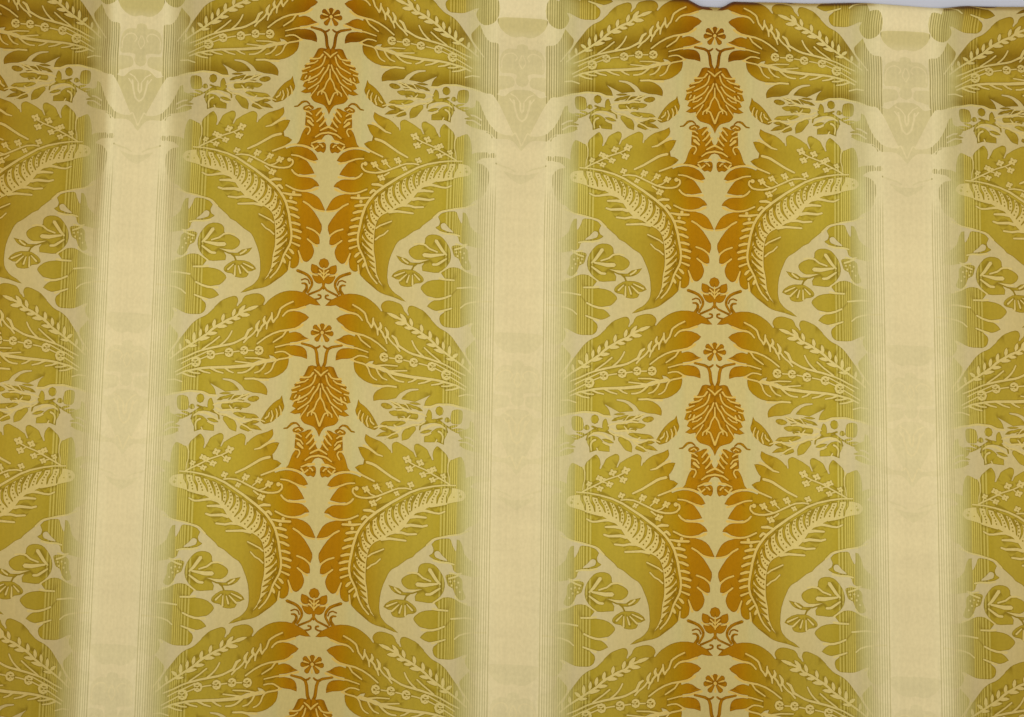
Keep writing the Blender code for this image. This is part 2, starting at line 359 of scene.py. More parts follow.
def draw_wing_leaf(chart):
    """The big leaf that arches out beside the daisy, with its lobes on the gold side."""
    chart.fill(FIGURE, [(24, -22), (33, -21), (39.5, -18), (46, -23), (54, -22), (58, -18), (64, -21.5),
                        (72, -18), (78, -12), (81, -9.8), (85, -8), (89, -5), (92.4, -1), (96.5, 4.6),
                        (100, 10), (103, 16), (107, 22), (112, 28), (118, 34), (118, 44), (112, 46.5),
                        (106, 45.4, TIP), (100, 43.6), (95, 42.6),
                        (90, 41.5), (85, 41.6), (80, 42.3), (76, 43.8), (71, 44.2), (66, 42), (60, 41),
                        (55, 40.5), (48, 35), (40, 31), (33, 24), (23, 18), (22, 12), (22, 5), (23, -2),
                        (22, -10)])
    # The arch and the upper edge's lobes
    chart.fill(FIGURE, [(1.5, -18.2, TIP), (5, -22.2), (9, -24.5), (13, -26.6), (17, -27.5), (22, -27.8),
                        (27, -27), (31, -25.5), (35, -23), (38, -20.5), (41, -15), (36, -9), (27.5, -10.5),
                        (26, -13), (24, -15), (20, -15.3), (15, -16), (12, -17.5), (9, -19), (5, -18.2)])
    chart.fill(FIGURE, [(40, -20.3), (40.6, -22.8), (43, -24.9), (46, -25.5), (50, -25), (54, -23.5),
                        (55.8, -20.5), (55, -14), (42, -14)])
    chart.fill(FIGURE, [(58.4, -20), (59.5, -23), (62, -23.5), (66, -22.2), (70, -20.3), (72.5, -18),
                        (75, -15), (70, -12), (60, -12)])
    chart.line(GROUND, [(35.5, -24.2), (38.5, -21.5), (40.6, -18)], 2.2, 1.8, 1.0)
    chart.line(GROUND, [(56.6, -25.5), (57, -21), (59, -17)], 2.4, 1.8, 1.0)
    # Its lobes, from the top down
    chart.fill(FIGURE, [(9.3, -10, TIP), (12, -12.2), (16, -13.7), (20, -14.1), (24, -13), (27, -10),
                        (34, -8), (34, 0), (26, -1.5), (20, -1.8), (17, -3.2), (14, -6.2), (11, -8)])
    chart.fill(FIGURE, [(9.3, 4.2, TIP), (12, 3), (15, 0.8), (18, -0.1), (21, 0.2), (24, 1.5), (30, 4),
                        (36, 8), (32, 11), (26, 7.7), (22, 7.2), (17, 6.6), (13, 5.3)])
    chart.fill(FIGURE, [(9.8, 18.2, TIP), (9.9, 14.5), (11, 11.8), (13, 10), (16, 9.1), (20, 8.9),
                        (28, 10.5),
                        (34, 14), (30, 17), (22.5, 15.4), (18, 16.4), (14, 16.8)])
    chart.fill(FIGURE, [(22.5, 18), (22.5, 21), (23, 24), (25, 27), (28, 29.5), (32, 31.5), (36, 32.4),
                        (40, 32.5), (44, 32.3), (50, 33), (50, 22), (36, 20), (30, 18)])
    chart.fill(FIGURE, [(36.5, 43.8, TIP), (36.2, 41), (37.3, 38), (40, 35.4), (44, 33.5), (54, 33),
                        (58, 38),
                        (53, 40.2), (50, 41), (46, 42.2), (41, 42.6)])
    # Light veins between the lobes
    chart.line(LIGHT, [(12, -17), (18, -15), (22, -14.5), (25, -13.2), (27.5, -10.3)], 1.6, 1.3, 1.1)
    chart.line(LIGHT, [(20.5, -20.4), (24, -18.8), (27, -17), (29.3, -15), (30.2, -12.5)], 1.1, 1.4)
    chart.line(LIGHT, [(13.5, -5), (17, -2.6), (20, -1.6), (26, -0.8), (30, 0), (35, 2), (40, 5),
                       (44.5, 8.5)],
               1.8, 1.2, 1.0)
    chart.line(LIGHT, [(24.5, -0.8), (27, 3), (30, 5), (33.5, 7.3)], 1.2, 0.9)
    chart.line(LIGHT, [(9, 5.2), (13, 6.2), (18, 7.8), (23, 8.4), (27, 9.2), (32, 10.6)], 1.6, 1.1, 0.8)
    chart.line(LIGHT, [(21, 16.2), (25, 13.8), (28, 13.4), (32, 14.4)], 1.2, 0.9)
    chart.line(LIGHT, [(20, 16.5), (24, 18), (28, 18.6), (31, 19.8), (32.5, 22), (33.5, 25), (35.5, 27.8),
                       (38.5, 29.2)], 1.2, 1.2, 0.9)
    chart.fill(GROUND, [(30.5, 19, TIP), (33, 17), (36, 16.2, TIP), (35, 18.6), (37, 19.6), (43, 19.8),
                        (47, 21.6, TIP), (44, 23.4), (40, 22), (36, 21.2), (33, 20.8)])
    chart.line(LIGHT, [(38, 19.4), (44, 18.3), (52.5, 18.1)], 1.2, 0.8)
    chart.line(LIGHT, [(32, 19), (36, 19.8), (40, 20.6), (45, 22.4), (50, 23.5), (62, 24.7), (70, 25),
                       (80, 25.6), (87, 26.8), (93, 28.2), (99, 31)], 2.4, 2.2, 1.6, 1.0)
    chart.line(LIGHT, [(45, 22.3), (53, 21.5), (59, 20.7)], 1.2, 0.9)
    chart.line(LIGHT, [(38, 21.5), (39.5, 24.5), (42.5, 27.5), (45.5, 28.5)], 1.3, 0.9)
    chart.line(LIGHT, [(46, 23.5), (49, 26.2), (52.5, 28.2), (57, 28.6)], 1.4, 1.1)
    for foot, tip in (((66, 25.3), (60, 28.6)), ((76, 25.5), (67, 29)), ((85, 26.3), (76, 29.2)),
                      ((91, 28), (83, 29.5)), ((95, 29.5), (86, 32))):
        chart.line(LIGHT, [foot, ((foot[0] + tip[0]) / 2, (foot[1] + tip[1]) / 2 + 0.5), tip], 1.4, 0.9)
    chart.line(LIGHT, [(36, 33.2), (42, 33.2), (46, 32.4), (52, 32.6)], 1.6, 1.2)
    chart.line(GROUND, [(53.5, 41), (55, 38.5), (57, 36.5), (60, 34.5), (63, 33.5),
                        (67, 33)], 3.4, 2.0, 0.9)
    chart.fill(GROUND, [(64.5, 42, TIP), (69, 39.5), (72, 38), (75.5, 36.2, TIP), (72.6, 39.5), (71.4, 43),
                        (71, 46, TIP), (68, 45)])
    chart.line(LIGHT, [(71, 44.6), (76, 44.3), (80, 42.5), (85, 41.8), (90, 41.7), (95, 42.8), (100, 43.6),
                       (106, 45.4)], 1.5, 1.2)
    chart.line(LIGHT, [(95, 35.5), (100, 34), (105, 34.5)], 1.0)
    # The zigzag midrib and its spurs
    chart.line(LIGHT, [(30.2, -12.5), (31, -10), (32.6, -8.2), (33.9, -6)], 1.2)
    chart.line(LIGHT, [(33.9, -6.2), (34.9, -8.6), (35, -12.6)], 1.3, 1.6, 1.0)
    chart.line(LIGHT, [(35, -10.5), (36.4, -7.8), (38, -5.2)], 1.3)
    chart.line(LIGHT, [(38, -5.4), (38.4, -1.5)], 1.4, 1.1)
    chart.line(LIGHT, [(37.8, -4.8), (39.6, -6), (40.4, -8), (39.7, -10)], 1.3, 2.2, 0.9)
    chart.line(LIGHT, [(40, -5), (41.8, -3), (42.6, -1), (43.8, 0.4)], 1.4)
    chart.line(LIGHT, [(43.6, -0.2), (44.8, 3.6)], 1.2, 1.0)
    chart.line(LIGHT, [(43.8, 0.2), (45, -1.6), (45, -4.2), (43.3, -7)], 1.3, 2.3, 0.9)
    chart.line(LIGHT, [(45.2, -1.2), (47, 1.3), (49, 3.2), (51, 4.6), (53.8, 7.8)], 1.2)
    chart.line(LIGHT, [(48.2, -2), (50.6, -0.4), (51.8, 2), (52.8, 4.4), (55, 5.4),
                       (57.5, 6.6)], 1.2, 2.4, 1.8, 1.2)
    chart.line(LIGHT, [(55, 5.6), (60, 8), (66, 9.7), (70, 10.4), (76, 11.7), (85, 14.4), (90, 17),
                       (95, 19.3),
                       (99, 21)], 1.3, 1.5, 1.2, 0.9)
    chart.line(LIGHT, [(62, 0), (64, 4), (67, 7.5), (70, 10)], 1.0, 1.2)
    chart.line(LIGHT, [(70.5, 4), (74, 7), (78, 10), (82, 12.8)], 1.0)
    chart.line(LIGHT, [(78, 14), (84, 17), (90, 19.6), (96, 23)], 0.9)


def draw_tulip_chain(chart):
    """The chain of small tulips below the midrib."""
    chart.line(LIGHT, [(41, 13), (53, 13.2), (64, 14.6), (76, 16.7), (86, 21), (94, 25.5), (100, 29)], 0.9)
    berries = ((43, 13, 3.2), (53.2, 13, 3.0), (63.5, 14.6, 3.2), (76, 16.4, 3.2), (86, 21.5, 3.6))
    for side, down, wide in berries:
        chart.dot(LIGHT, (side, down), wide, 1.05)
        chart.dot(FIGURE, (side + 0.2, down + 0.1), wide * 0.62, 0.9)
        chart.line(LIGHT, [(side - 1.6, down - 1.5), (side + 0.2, down - 0.2),
                           (side + 2.4, down - 0.6)], 0.9)
        chart.line(LIGHT, [(side - 1.4, down + 1.7), (side + 0.4, down + 0.9),
                           (side + 2.2, down + 1.5)], 0.9)
        chart.dot(FIGURE, (side + wide * 0.9, down + 0.2), 0.7)


def draw_wing_sprig(chart):
    """The leafy sprig that runs through the upper half of the wing leaf."""
    spine = [(49, -15.2), (53, -14), (57, -12), (60, -9.4), (65, -7.4), (70, -4.4), (75, -1.4), (79, 2.4),
             (87, 7.6), (90, 9.8), (98, 15), (104, 20)]
    chart.line(LIGHT, spine, 1.4, 1.6, 1.5, 1.1)
    leaflets = [
        ((53.5, -13.8), (44.4, -17), 2.5), ((58, -12), (53.5, -17.4), 2.6), ((57.6, -11), (50, -10.8), 2.9),
        ((62, -9.6), (60.4, -15), 2.4), ((62, -7.8), (56.4, -8.6), 2.2), ((69, -6), (68, -11.4), 2.4),
        ((67, -5.6), (61.4, -5.6), 2.3), ((74, -3), (65.4, -3), 2.8), ((75, -2), (74, -7.6), 2.4),
        ((80, 1.8), (79, -4), 2.4), ((79.5, 2.4), (72, 1.6), 2.5), ((84, 4.6), (83.4, -1), 2.2),
        ((86, 6.6), (77, 4.6), 2.5), ((88, 8), (88, 1.4), 2.5), ((90, 9.2), (94, 6.4), 2.4),
        ((92, 11), (85.5, 10.2), 2.0), ((97, 14), (97.5, 9), 2.0), ((102, 18), (102.5, 13.5), 1.7),
    ]
    for foot, tip, width in leaflets:
        chart.leaflet(LIGHT, foot, tip, width)


def draw_spray(chart):
    """The loose leafy spray with a rose, below the wing leaf."""
    chart.fill(FIGURE, [(41.8, 46.6), (42, 45), (44.4, 44.2), (47.6, 44.8), (49.8, 46.6), (48, 48.2),
                        (44.6, 48.4)])
    chart.fill(FIGURE, [(47.2, 50.2), (49.6, 49), (54, 48.6), (60, 49.4), (60, 51.6), (55, 52.4),
                        (50, 52.6)])
    chart.fill(FIGURE, [(58.2, 52), (59.4, 49.9), (63, 49.2), (66.8, 49.6), (67.6, 52), (65.6, 54.4),
                        (61.4, 54.8), (58.8, 54)])
    leaves = [
        ((58.6, 54.2), (53, 53), 2.4), ((57, 45.8), (48.4, 43.2), 2.4), ((63, 47), (54.6, 44), 2.2),
        ((67, 46.6), (59, 43.4), 2.4), ((70.5, 47.6), (63.6, 44.6), 2.4), ((69, 43), (61, 42.6), 1.8),
        ((58, 48), (51.6, 47.4), 1.8), ((50.5, 62.6), (41, 62), 3.0), ((69, 62.6), (77, 60.2), 2.6),
    ]
    for foot, tip, width in leaves:
        chart.leaflet(FIGURE, foot, tip, width)
    chart.fill(FIGURE, [(41.3, 59.4, TIP), (44, 57), (50, 56.2), (56, 55.4), (59.5, 56.2), (56, 58.6),
                        (50, 60), (45, 60)])
    chart.fill(FIGURE, [(38.8, 68, TIP), (42, 65), (47, 63.4), (52.5, 63.4), (49, 66), (45, 67.2)])
    chart.fill(FIGURE, [(44.8, 69.6, TIP), (47, 67), (50, 65.6), (53.4, 64.4), (54.4, 66.4), (51, 68.2)])
    chart.fill(FIGURE, [(56.6, 69, TIP), (56.3, 65), (58, 61.5), (62, 59), (65.6, 58.4), (66, 61),
                        (63.6, 64), (61, 67.4)])
    chart.fill(FIGURE, [(71.8, 68.8, TIP), (71.8, 65, TIP), (75, 63), (77, 61), (80, 58.6), (84, 58),
                        (86.6, 59.8), (87.4, 62.4), (85.6, 66), (85.4, 69.5, TIP), (81, 68), (76, 68.6)])
    chart.line(FIGURE, [(68.6, 60.6), (69.4, 57.4), (74, 55), (79, 54), (83.5, 55), (86.5, 57.5),
                        (87.6, 61)], 1.0, 2.2, 1.2)
    chart.line(LIGHT, [(70, 61), (73.5, 58.6), (78, 56.4), (82.5, 56.2), (86, 58.4)], 1.0, 2.0, 0.9)
    chart.line(LIGHT, [(81.4, 60.6), (83.4, 61.6), (84.6, 64), (84.2, 68)], 1.4, 0.9)
    chart.line(LIGHT, [(70.5, 64.4), (74, 63.6), (76.4, 62.2)], 1.0)
    chart.line(LIGHT, [(79.6, 68.4), (80.6, 66.4)], 0.9)
    chart.dot(FIGURE, (82, 46.6), 2.9, 1.15)
    chart.fill(FIGURE, [(72.4, 53.6), (73, 49), (74.6, 46), (76.4, 47.6), (76.8, 52.6), (75, 54.4)])
    chart.fill(FIGURE, [(85.6, 53.4), (86.4, 50.6), (88.4, 50.8), (89.6, 53), (87.6, 54.2)])
    chart.line(FIGURE, [(84, 51.5), (80.4, 52.6), (78.4, 54)], 1.4, 0.8)
    chart.fill(FIGURE, [(90, 54), (90.6, 46), (94, 44.6), (97.4, 45.4), (98, 50), (96.6, 54.4), (93, 55)])
    chart.line(FIGURE, [(66, 58), (70, 56.2), (76, 53.4), (81, 52.6), (86, 56), (92, 59.4), (98, 61.4)],
               0.9, 1.0, 1.2)
    for foot, tip in (((88, 57.5), (95, 55.6)), ((90, 59), (99, 58)), ((93, 60.5), (102, 60)),
                      ((96, 62), (100, 64.6)), ((95, 66), (103, 65.4)), ((96, 69.5), (102, 68.4))):
        chart.leaflet(FIGURE, foot, tip, 1.9)
    chart.line(LIGHT, [(48, 42.6), (54, 44.8), (58, 47.4), (63, 49), (70, 49.6), (73, 51)], 0.9, 1.3, 0.9)
    chart.line(LIGHT, [(53, 48.4), (58, 47.6)], 1.1)
    for foot, tip in (((49.6, 44.2), (53, 47)), ((53, 43.6), (57, 47)), ((58, 43), (61.6, 47.2)),
                      ((60, 53.4), (62, 51))):
        chart.line(LIGHT, [foot, tip], 0.8, 0.6)
    chart.line(LIGHT, [(55, 54.2), (61, 53.9), (68, 54.4), (71, 53)], 1.2)
    chart.line(LIGHT, [(46, 60.8), (50, 62.2), (53, 61.6), (56.5, 60)], 1.0)
    chart.line(LIGHT, [(51, 58.8), (54, 60.6), (60, 59.6), (64, 57.6), (69, 57), (72, 55)], 1.0, 1.3, 0.9)
    chart.line(LIGHT, [(46.4, 67.8), (49.4, 65.6), (53.6, 63.6), (56, 61)], 1.0)
    chart.line(LIGHT, [(59, 56), (60.5, 52.8)], 1.0)


def draw_body_leaf(chart):
    """The great leaf that hangs down both sides of the gold stripe to a curling tail."""
    chart.fill(FIGURE, [(36, 75), (44, 73.5), (48.6, 76), (56, 73), (64, 76), (70, 74), (77, 78), (84, 74),
                        (89, 79.5), (94, 78.4), (99, 80), (100, 86), (101, 92), (105, 99), (110, 111),
                        (107, 120), (103, 124.5), (99, 128.4), (94, 130.2), (88, 131.4), (84, 132.6),
                        (80, 133.8), (77, 136.3), (75, 138.5), (72, 141), (68, 144.5), (66, 147), (62, 149),
                        (59, 151.5), (56, 154), (52, 156.5), (50, 159), (48.5, 162), (46.5, 167), (45, 172),
                        (44.2, 178), (44.1, 184), (45, 188), (47, 191), (50, 193.5), (53.5, 195.3),
                        (57.2, 198.3, TIP), (54, 197.8), (50, 196.5), (46, 195.5), (42, 194.8), (38, 193.3),
                        (34, 190.5), (31, 188.3), (28, 186), (25.5, 183.5), (23.8, 180.5), (22, 176),
                        (19, 170), (13, 160), (11, 152), (12, 142), (16, 132), (18, 122), (20, 112),
                        (24, 103), (30, 95), (31, 85)])
    # The lobes of its upper edge
    chart.fill(FIGURE, [(31.8, 66.8, TIP), (35, 68.6), (41, 70.4), (44, 72), (46.6, 74), (48.8, 76.8),
                        (50, 82), (42, 84), (38, 78), (34.6, 75.4), (32, 72.6), (31.1, 70)])
    chart.fill(FIGURE, [(49.6, 74), (50.4, 71.4), (53, 70), (56, 71), (60, 73), (63, 75), (64.4, 76),
                        (65, 82), (52, 84)])
    chart.fill(FIGURE, [(64.6, 75), (64.9, 72), (66.4, 70.2), (68, 70), (71, 71.5), (74, 73.5),
                        (75.6, 76.5),
                        (77, 82), (66, 84)])
    chart.fill(FIGURE, [(77.7, 78), (78.6, 73.4), (80.8, 70.8), (82, 71.2), (84.6, 73.4), (87.4, 76),
                        (89, 80), (88, 88), (79, 84)])
    chart.fill(FIGURE, [(90, 82), (92, 79), (95, 77.4), (97.4, 77), (99, 79.4), (100.2, 84), (100, 92),
                        (92, 92)])
    chart.line(GROUND, [(46.5, 69.5), (49, 73.2), (50, 77.8)], 3.4, 1.8, 0.8)
    chart.line(GROUND, [(64.2, 70), (64.4, 74), (66.6, 79)], 2.0, 1.2, 0.8)
    chart.line(GROUND, [(77, 70.5), (76.6, 76), (78, 80.2)], 4.0, 1.8, 1.0)
    chart.line(GROUND, [(91.6, 73), (89.8, 78), (89, 81)], 4.0, 1.0)
    chart.line(LIGHT, [(89.4, 79), (88.5, 83), (88.5, 88), (89.4, 91), (89.8, 95)], 1.0, 0.7, 0.6)
    # The two pointed lobes on its left and the clefts above and below them
    chart.fill(FIGURE, [(26.8, 76.2, TIP), (30, 75.8), (34, 77.2), (39, 80), (46, 82), (46, 90), (36, 87),
                        (31, 84), (28.5, 80.4)])
    chart.fill(FIGURE, [(25, 90.2, TIP), (28, 88.2), (32, 87.6), (37, 88.4), (44, 92), (46, 99), (38, 97.6),
                        (34, 96), (30, 94.4), (27, 92.4)])
    chart.line(LIGHT, [(30.5, 74.8), (34, 76), (37, 78), (40, 80), (43.8, 80.9)], 1.8, 1.8, 0.8)
    chart.line(LIGHT, [(33, 86), (38, 87.2), (42, 89.3), (47, 92.5), (52, 95.3), (56, 97)], 1.8, 1.8, 1.2)
    # The lobes down the gold side
    chart.fill(FIGURE, [(6.4, 104, TIP), (8, 101), (10, 98.5), (13, 96.4), (17, 95), (22, 94.6), (30, 97),
                        (34, 102), (26, 103), (18, 103), (13, 104.6), (10, 105.2)])
    chart.fill(FIGURE, [(8.6, 113.8, TIP), (10, 111), (12, 108), (14.6, 104.8), (20, 102.4), (28, 102),
                        (28, 112), (20, 114.4), (16, 115), (12, 114.5)])
    chart.fill(FIGURE, [(5, 122.8, TIP), (5.6, 121.3), (8, 118.6), (11, 117), (16, 116.6), (24, 114),
                        (30, 116), (30, 123), (20, 125.7), (15, 125.8), (11, 125), (8, 123.2)])
    chart.fill(FIGURE, [(0.2, 140, TIP), (1.5, 137), (3, 134), (5, 131), (9, 128.4), (14, 127), (22, 125.8),
                        (28, 128), (22, 136), (14, 138), (6, 139.6)])
    chart.fill(FIGURE, [(3.2, 156.8, TIP), (2.1, 153.6), (2.3, 150), (4, 146.8), (6.4, 143), (9.4, 139.2),
                        (16, 135), (22, 140), (20, 151), (10, 153.4), (6, 155)])
    chart.fill(FIGURE, [(3.4, 163.6, TIP), (3.4, 160), (4.6, 157.2), (9, 153.8), (16, 152), (18, 158),
                        (12, 160.4), (8.4, 163.2), (5, 164)])
    chart.fill(FIGURE, [(8.4, 164.4), (10.4, 161.2), (16, 158), (22, 162), (20, 168), (17, 171.4),
                        (15.6, 173.6), (14.4, 175.6), (12.2, 176.4), (9.8, 175), (8, 172.4), (7.1, 168.6)])
    chart.fill(FIGURE, [(17.3, 176.4), (17.2, 172.6), (18.6, 169), (24, 168), (27, 176), (24, 180),
                        (21.6, 181.2), (19.4, 180.4), (17.8, 178.6)])
    chart.line(LIGHT, [(12, 95.8), (17, 94), (22, 93.3), (27, 94), (31, 95.5), (35, 97), (38.6, 98.4)],
               1.6, 1.4, 1.1)
    chart.line(LIGHT, [(8, 106), (13, 104.7), (17, 102.8), (21, 101.4), (25.2, 101)], 1.5, 1.2, 1.0)
    chart.line(LIGHT, [(8, 115.6), (13, 115.7), (17, 116), (20, 115.5), (23, 113.6),
                       (24.6, 111.6)], 1.6, 1.2)
    chart.line(LIGHT, [(6, 124.2), (10, 125.9), (14, 126.5), (19, 126.3), (23, 125.2), (28.2, 122.6)],
               1.8, 1.3, 1.1)
    chart.line(LIGHT, [(1, 140.6), (6, 139.8), (9, 138.5), (12, 136), (15.6, 133.9)], 1.2, 1.3)
    chart.line(LIGHT, [(3.5, 157.6), (6, 155.2), (9, 153.5), (12.6, 152.2)], 1.2)
    chart.line(LIGHT, [(5, 165.2), (8, 163.5), (12, 160.2)], 1.4, 1.1)
    chart.line(LIGHT, [(15.3, 176.5), (16.8, 172.2), (18, 168.6)], 1.8, 1.2, 0.9)
    chart.line(LIGHT, [(24.2, 182), (23.6, 176.2)], 1.4, 0.9)
    chart.line(LIGHT, [(75, 138.5), (77, 136.3), (80, 133.8), (85, 132.3), (90, 130.8), (97, 129.5),
                       (104, 126.5)], 1.0)


def draw_trefoil_sprig(chart):
    """The small flowering twigs that lie on the great leaf."""
    chart.line(LIGHT, [(60, 82), (66, 85), (72, 87), (78, 90), (84, 93), (90, 96.2)], 0.9, 1.1)
    chart.line(LIGHT, [(62.5, 88), (66, 85.2)], 0.8)
    chart.line(LIGHT, [(71.5, 91), (76, 89.2)], 0.8)
    chart.line(LIGHT, [(78, 94), (83, 92.4)], 0.8)
    chart.line(LIGHT, [(85.5, 90.6), (87, 94.4)], 0.8)
    for side, down, size in ((60.6, 81.4, 2.9), (62.2, 87.8, 2.6), (69.6, 83, 2.6), (71.5, 91, 2.4),
                             (76.4, 88, 2.2), (78.8, 86.8, 2.2), (78, 94, 2.2), (85.5, 90.8, 2.0)):
        chart.blossom((side, down), size)
    chart.line(LIGHT, [(27, 104.6), (24.6, 104.4), (24, 106.6), (26, 109.2), (30, 110.3), (35, 110.1),
                       (40, 108.7), (45, 106.4), (50, 103.8), (55, 101.6), (60, 101), (64, 101.4)],
               1.3, 1.2, 1.0)
    chart.dot(LIGHT, (26.6, 104.4), 1.5)
    for side, down, size in ((33, 104.4, 2.6), (40, 102, 2.4), (49, 99.8, 2.6), (38, 113.4, 2.6),
                             (54, 105.2, 2.0), (63.5, 98.4, 2.4)):
        chart.blossom((side, down), size)
    chart.line(LIGHT, [(33, 104.6), (36.5, 107.6), (40, 108.6)], 0.9)
    chart.line(LIGHT, [(40.4, 102.4), (44, 105.4)], 0.9)
    chart.line(LIGHT, [(49.4, 100.4), (51, 103)], 0.9)
    chart.line(LIGHT, [(40, 111.6), (43.4, 109)], 1.1)


def draw_feather(chart):
    """The curling feather on the great leaf: a midrib, barbs on one side and dotted cells on the other."""
    spine = [(94, 96.6), (86, 97), (80, 98), (70, 100.6), (63, 103.6), (57, 107.5), (50, 112), (45, 115.6),
             (40, 119.6), (35, 124), (31, 129), (28, 134), (26, 140), (24.5, 147), (23.5, 153), (23, 159),
             (24, 164.5), (26, 168.5), (28, 172), (29.5, 177), (31, 180.5), (33, 183.8), (37, 188)]
    chart.line(LIGHT, spine, 0.9, 1.3, 1.7, 1.7, 1.4, 1.0)
    # The light web on its outer side, then the dark gaps that part its cells
    web = [(94, 98.6), (99, 100), (101, 103.4), (99, 106.4), (92, 108.3), (85, 110.5), (77, 112.2),
           (72, 115), (66, 118.4), (62, 123.4), (59.6, 127.4), (55, 131.6), (50, 133.6), (45, 136.8),
           (40, 139.4), (36.4, 143.6), (34.8, 150), (34.2, 158), (34.4, 166), (35.6, 172), (36, 177),
           (36.6, 181), (38.4, 185.4), (41, 189.4, TIP), (37.4, 186), (34, 181.6), (31.6, 177), (30, 171),
           (27.6, 166.6), (26, 161), (26.2, 153), (27.4, 146), (29.4, 139), (31.6, 133.6), (35, 128),
           (39.5, 123.6), (45, 118.8), (50.5, 115), (57, 110.6), (64, 106.4), (71, 103.2), (79, 100.6),
           (87, 99)]
    chart.fill(LIGHT, web)
    gaps = [
        [(90.5, 98.6), (90.2, 101.6), (88.4, 105), (88, 108.6)],
        [(84.4, 99.4), (84, 102.4), (82, 105.6), (81.4, 109.6)],
        [(79, 100), (78, 103), (75.6, 106.4), (74.4, 110)],
        [(73.4, 101.4), (72, 104.6), (70.2, 108), (69.2, 112.6)],
        [(68, 103.4), (66.2, 107), (64.4, 111), (64.4, 116)],
        [(62.8, 106), (61, 110), (60.6, 114), (62.4, 118.6)],
        [(57.8, 109.4), (56, 113.4), (56.2, 118), (59, 122.4)],
        [(52.6, 113), (51.4, 117), (52, 122), (55.6, 126.6)],
        [(47.6, 116.6), (46.6, 120.6), (47.8, 126), (51.4, 130.4)],
        [(42.4, 120.8), (41.6, 125), (43.2, 130), (46.8, 134)],
        [(37.4, 125.4), (37, 129.4), (38.6, 134), (42, 137)],
        [(33.2, 130.8), (33, 135), (34.4, 139), (37.2, 141.4)],
        [(30.2, 137), (30.2, 141.6), (32, 145.4), (34.6, 147.6)],
        [(28, 144), (28.4, 148.4), (30.4, 152), (33.6, 154)],
        [(26.4, 151), (27.2, 155), (29.8, 158.6), (33.4, 160.6)],
        [(25.8, 158), (28.6, 161.6), (33, 165)],
        [(26.2, 163), (29.6, 167), (34, 169.6)],
        [(28.4, 168.6), (31, 171.4), (34.8, 173.4)],
        [(30, 173), (32.4, 175.8), (35.2, 177.4)],
        [(31.4, 177.6), (33.6, 180.2), (36, 181.8)],
        [(33.4, 181.4), (35.6, 184), (37.8, 186)],
    ]
    for gap in gaps:
        chart.line(FIGURE, gap, 2.0, 2.1, 0.8)
    # A row of dark stitches in each cell
    for left, right in zip(gaps[:14], gaps[1:15]):
        for share in (0.22, 0.40, 0.58, 0.76, 0.94):
            first, last = (
                np.array([np.interp(share * (len(row) - 1), range(len(row)), axis) for axis in zip(*row)])
                for row in (left, right)
            )
            chart.dot(FIGURE, first * 0.5 + last * 0.5, 0.62, 1.1)
    chart.dot(FIGURE, (97.4, 104), 1.0)
    chart.dot(FIGURE, (96.6, 101.6), 0.6)
    chart.dot(FIGURE, (93, 104.6), 0.6)
    # Barbs on its inner side
    barbs = [
        [(40, 119.4), (36, 118.4), (31.8, 118.7)], [(35.4, 123.8), (33, 122.8), (30.6, 125)],
        [(30.4, 128.2), (25, 129.2), (17.6, 129.4)], [(28, 133.6), (24, 134.2), (20.4, 135.2)],
        [(26.6, 138), (23, 138.8), (19.4, 140.2)], [(25.2, 143), (22, 143.8), (18.2, 145.6)],
        [(24.2, 149), (21, 149.4), (17.4, 150.6)], [(23.4, 153.6), (20, 154.4), (16.4, 155.6)],
        [(23, 158.4), (20, 159), (16.8, 160.2)], [(22.8, 163), (20, 164), (17.4, 165.2)],
        [(24.4, 167.6), (22.8, 169), (21.4, 170.7)], [(26.6, 171.4), (25, 172.8), (23.4, 174.2)],
        [(28, 174.4), (27.6, 176), (27, 177.2)],
    ]
    for barb in barbs:
        chart.line(LIGHT, barb, 1.0, 2.0, 1.5)
    chart.dot(LIGHT, (22.6, 127.6), 1.2)
    chart.dot(LIGHT, (24.4, 131.6), 1.2)
    # Fingers that reach from the web into the leaf
    chart.line(LIGHT, [(44, 137), (50, 136), (61, 136.4)], 2.2, 1.4, 1.2)
    chart.line(LIGHT, [(54, 131.4), (58, 131.2), (62, 132), (68, 131.4)], 1.8, 1.2)
    chart.line(LIGHT, [(60, 126.6), (64, 125.6), (72, 126), (75.2, 125)], 2.2, 1.3)
    chart.line(LIGHT, [(62, 120.4), (68, 119.6), (74.4, 119.8)], 2.4, 1.2)
    chart.line(LIGHT, [(67, 116), (72, 115), (83, 116.4), (87, 114.6)], 2.6, 1.4, 1.1)
    chart.line(LIGHT, [(77, 112), (82, 111), (88, 109.4)], 1.4, 1.0)
    chart.line(LIGHT, [(35.5, 149.6), (38, 147.5), (42, 145.5), (46.2, 143.4)], 1.1, 0.9)
    chart.line(LIGHT, [(35.2, 157.6), (38, 155), (41, 153.4), (44, 150.2)], 1.1, 0.9)


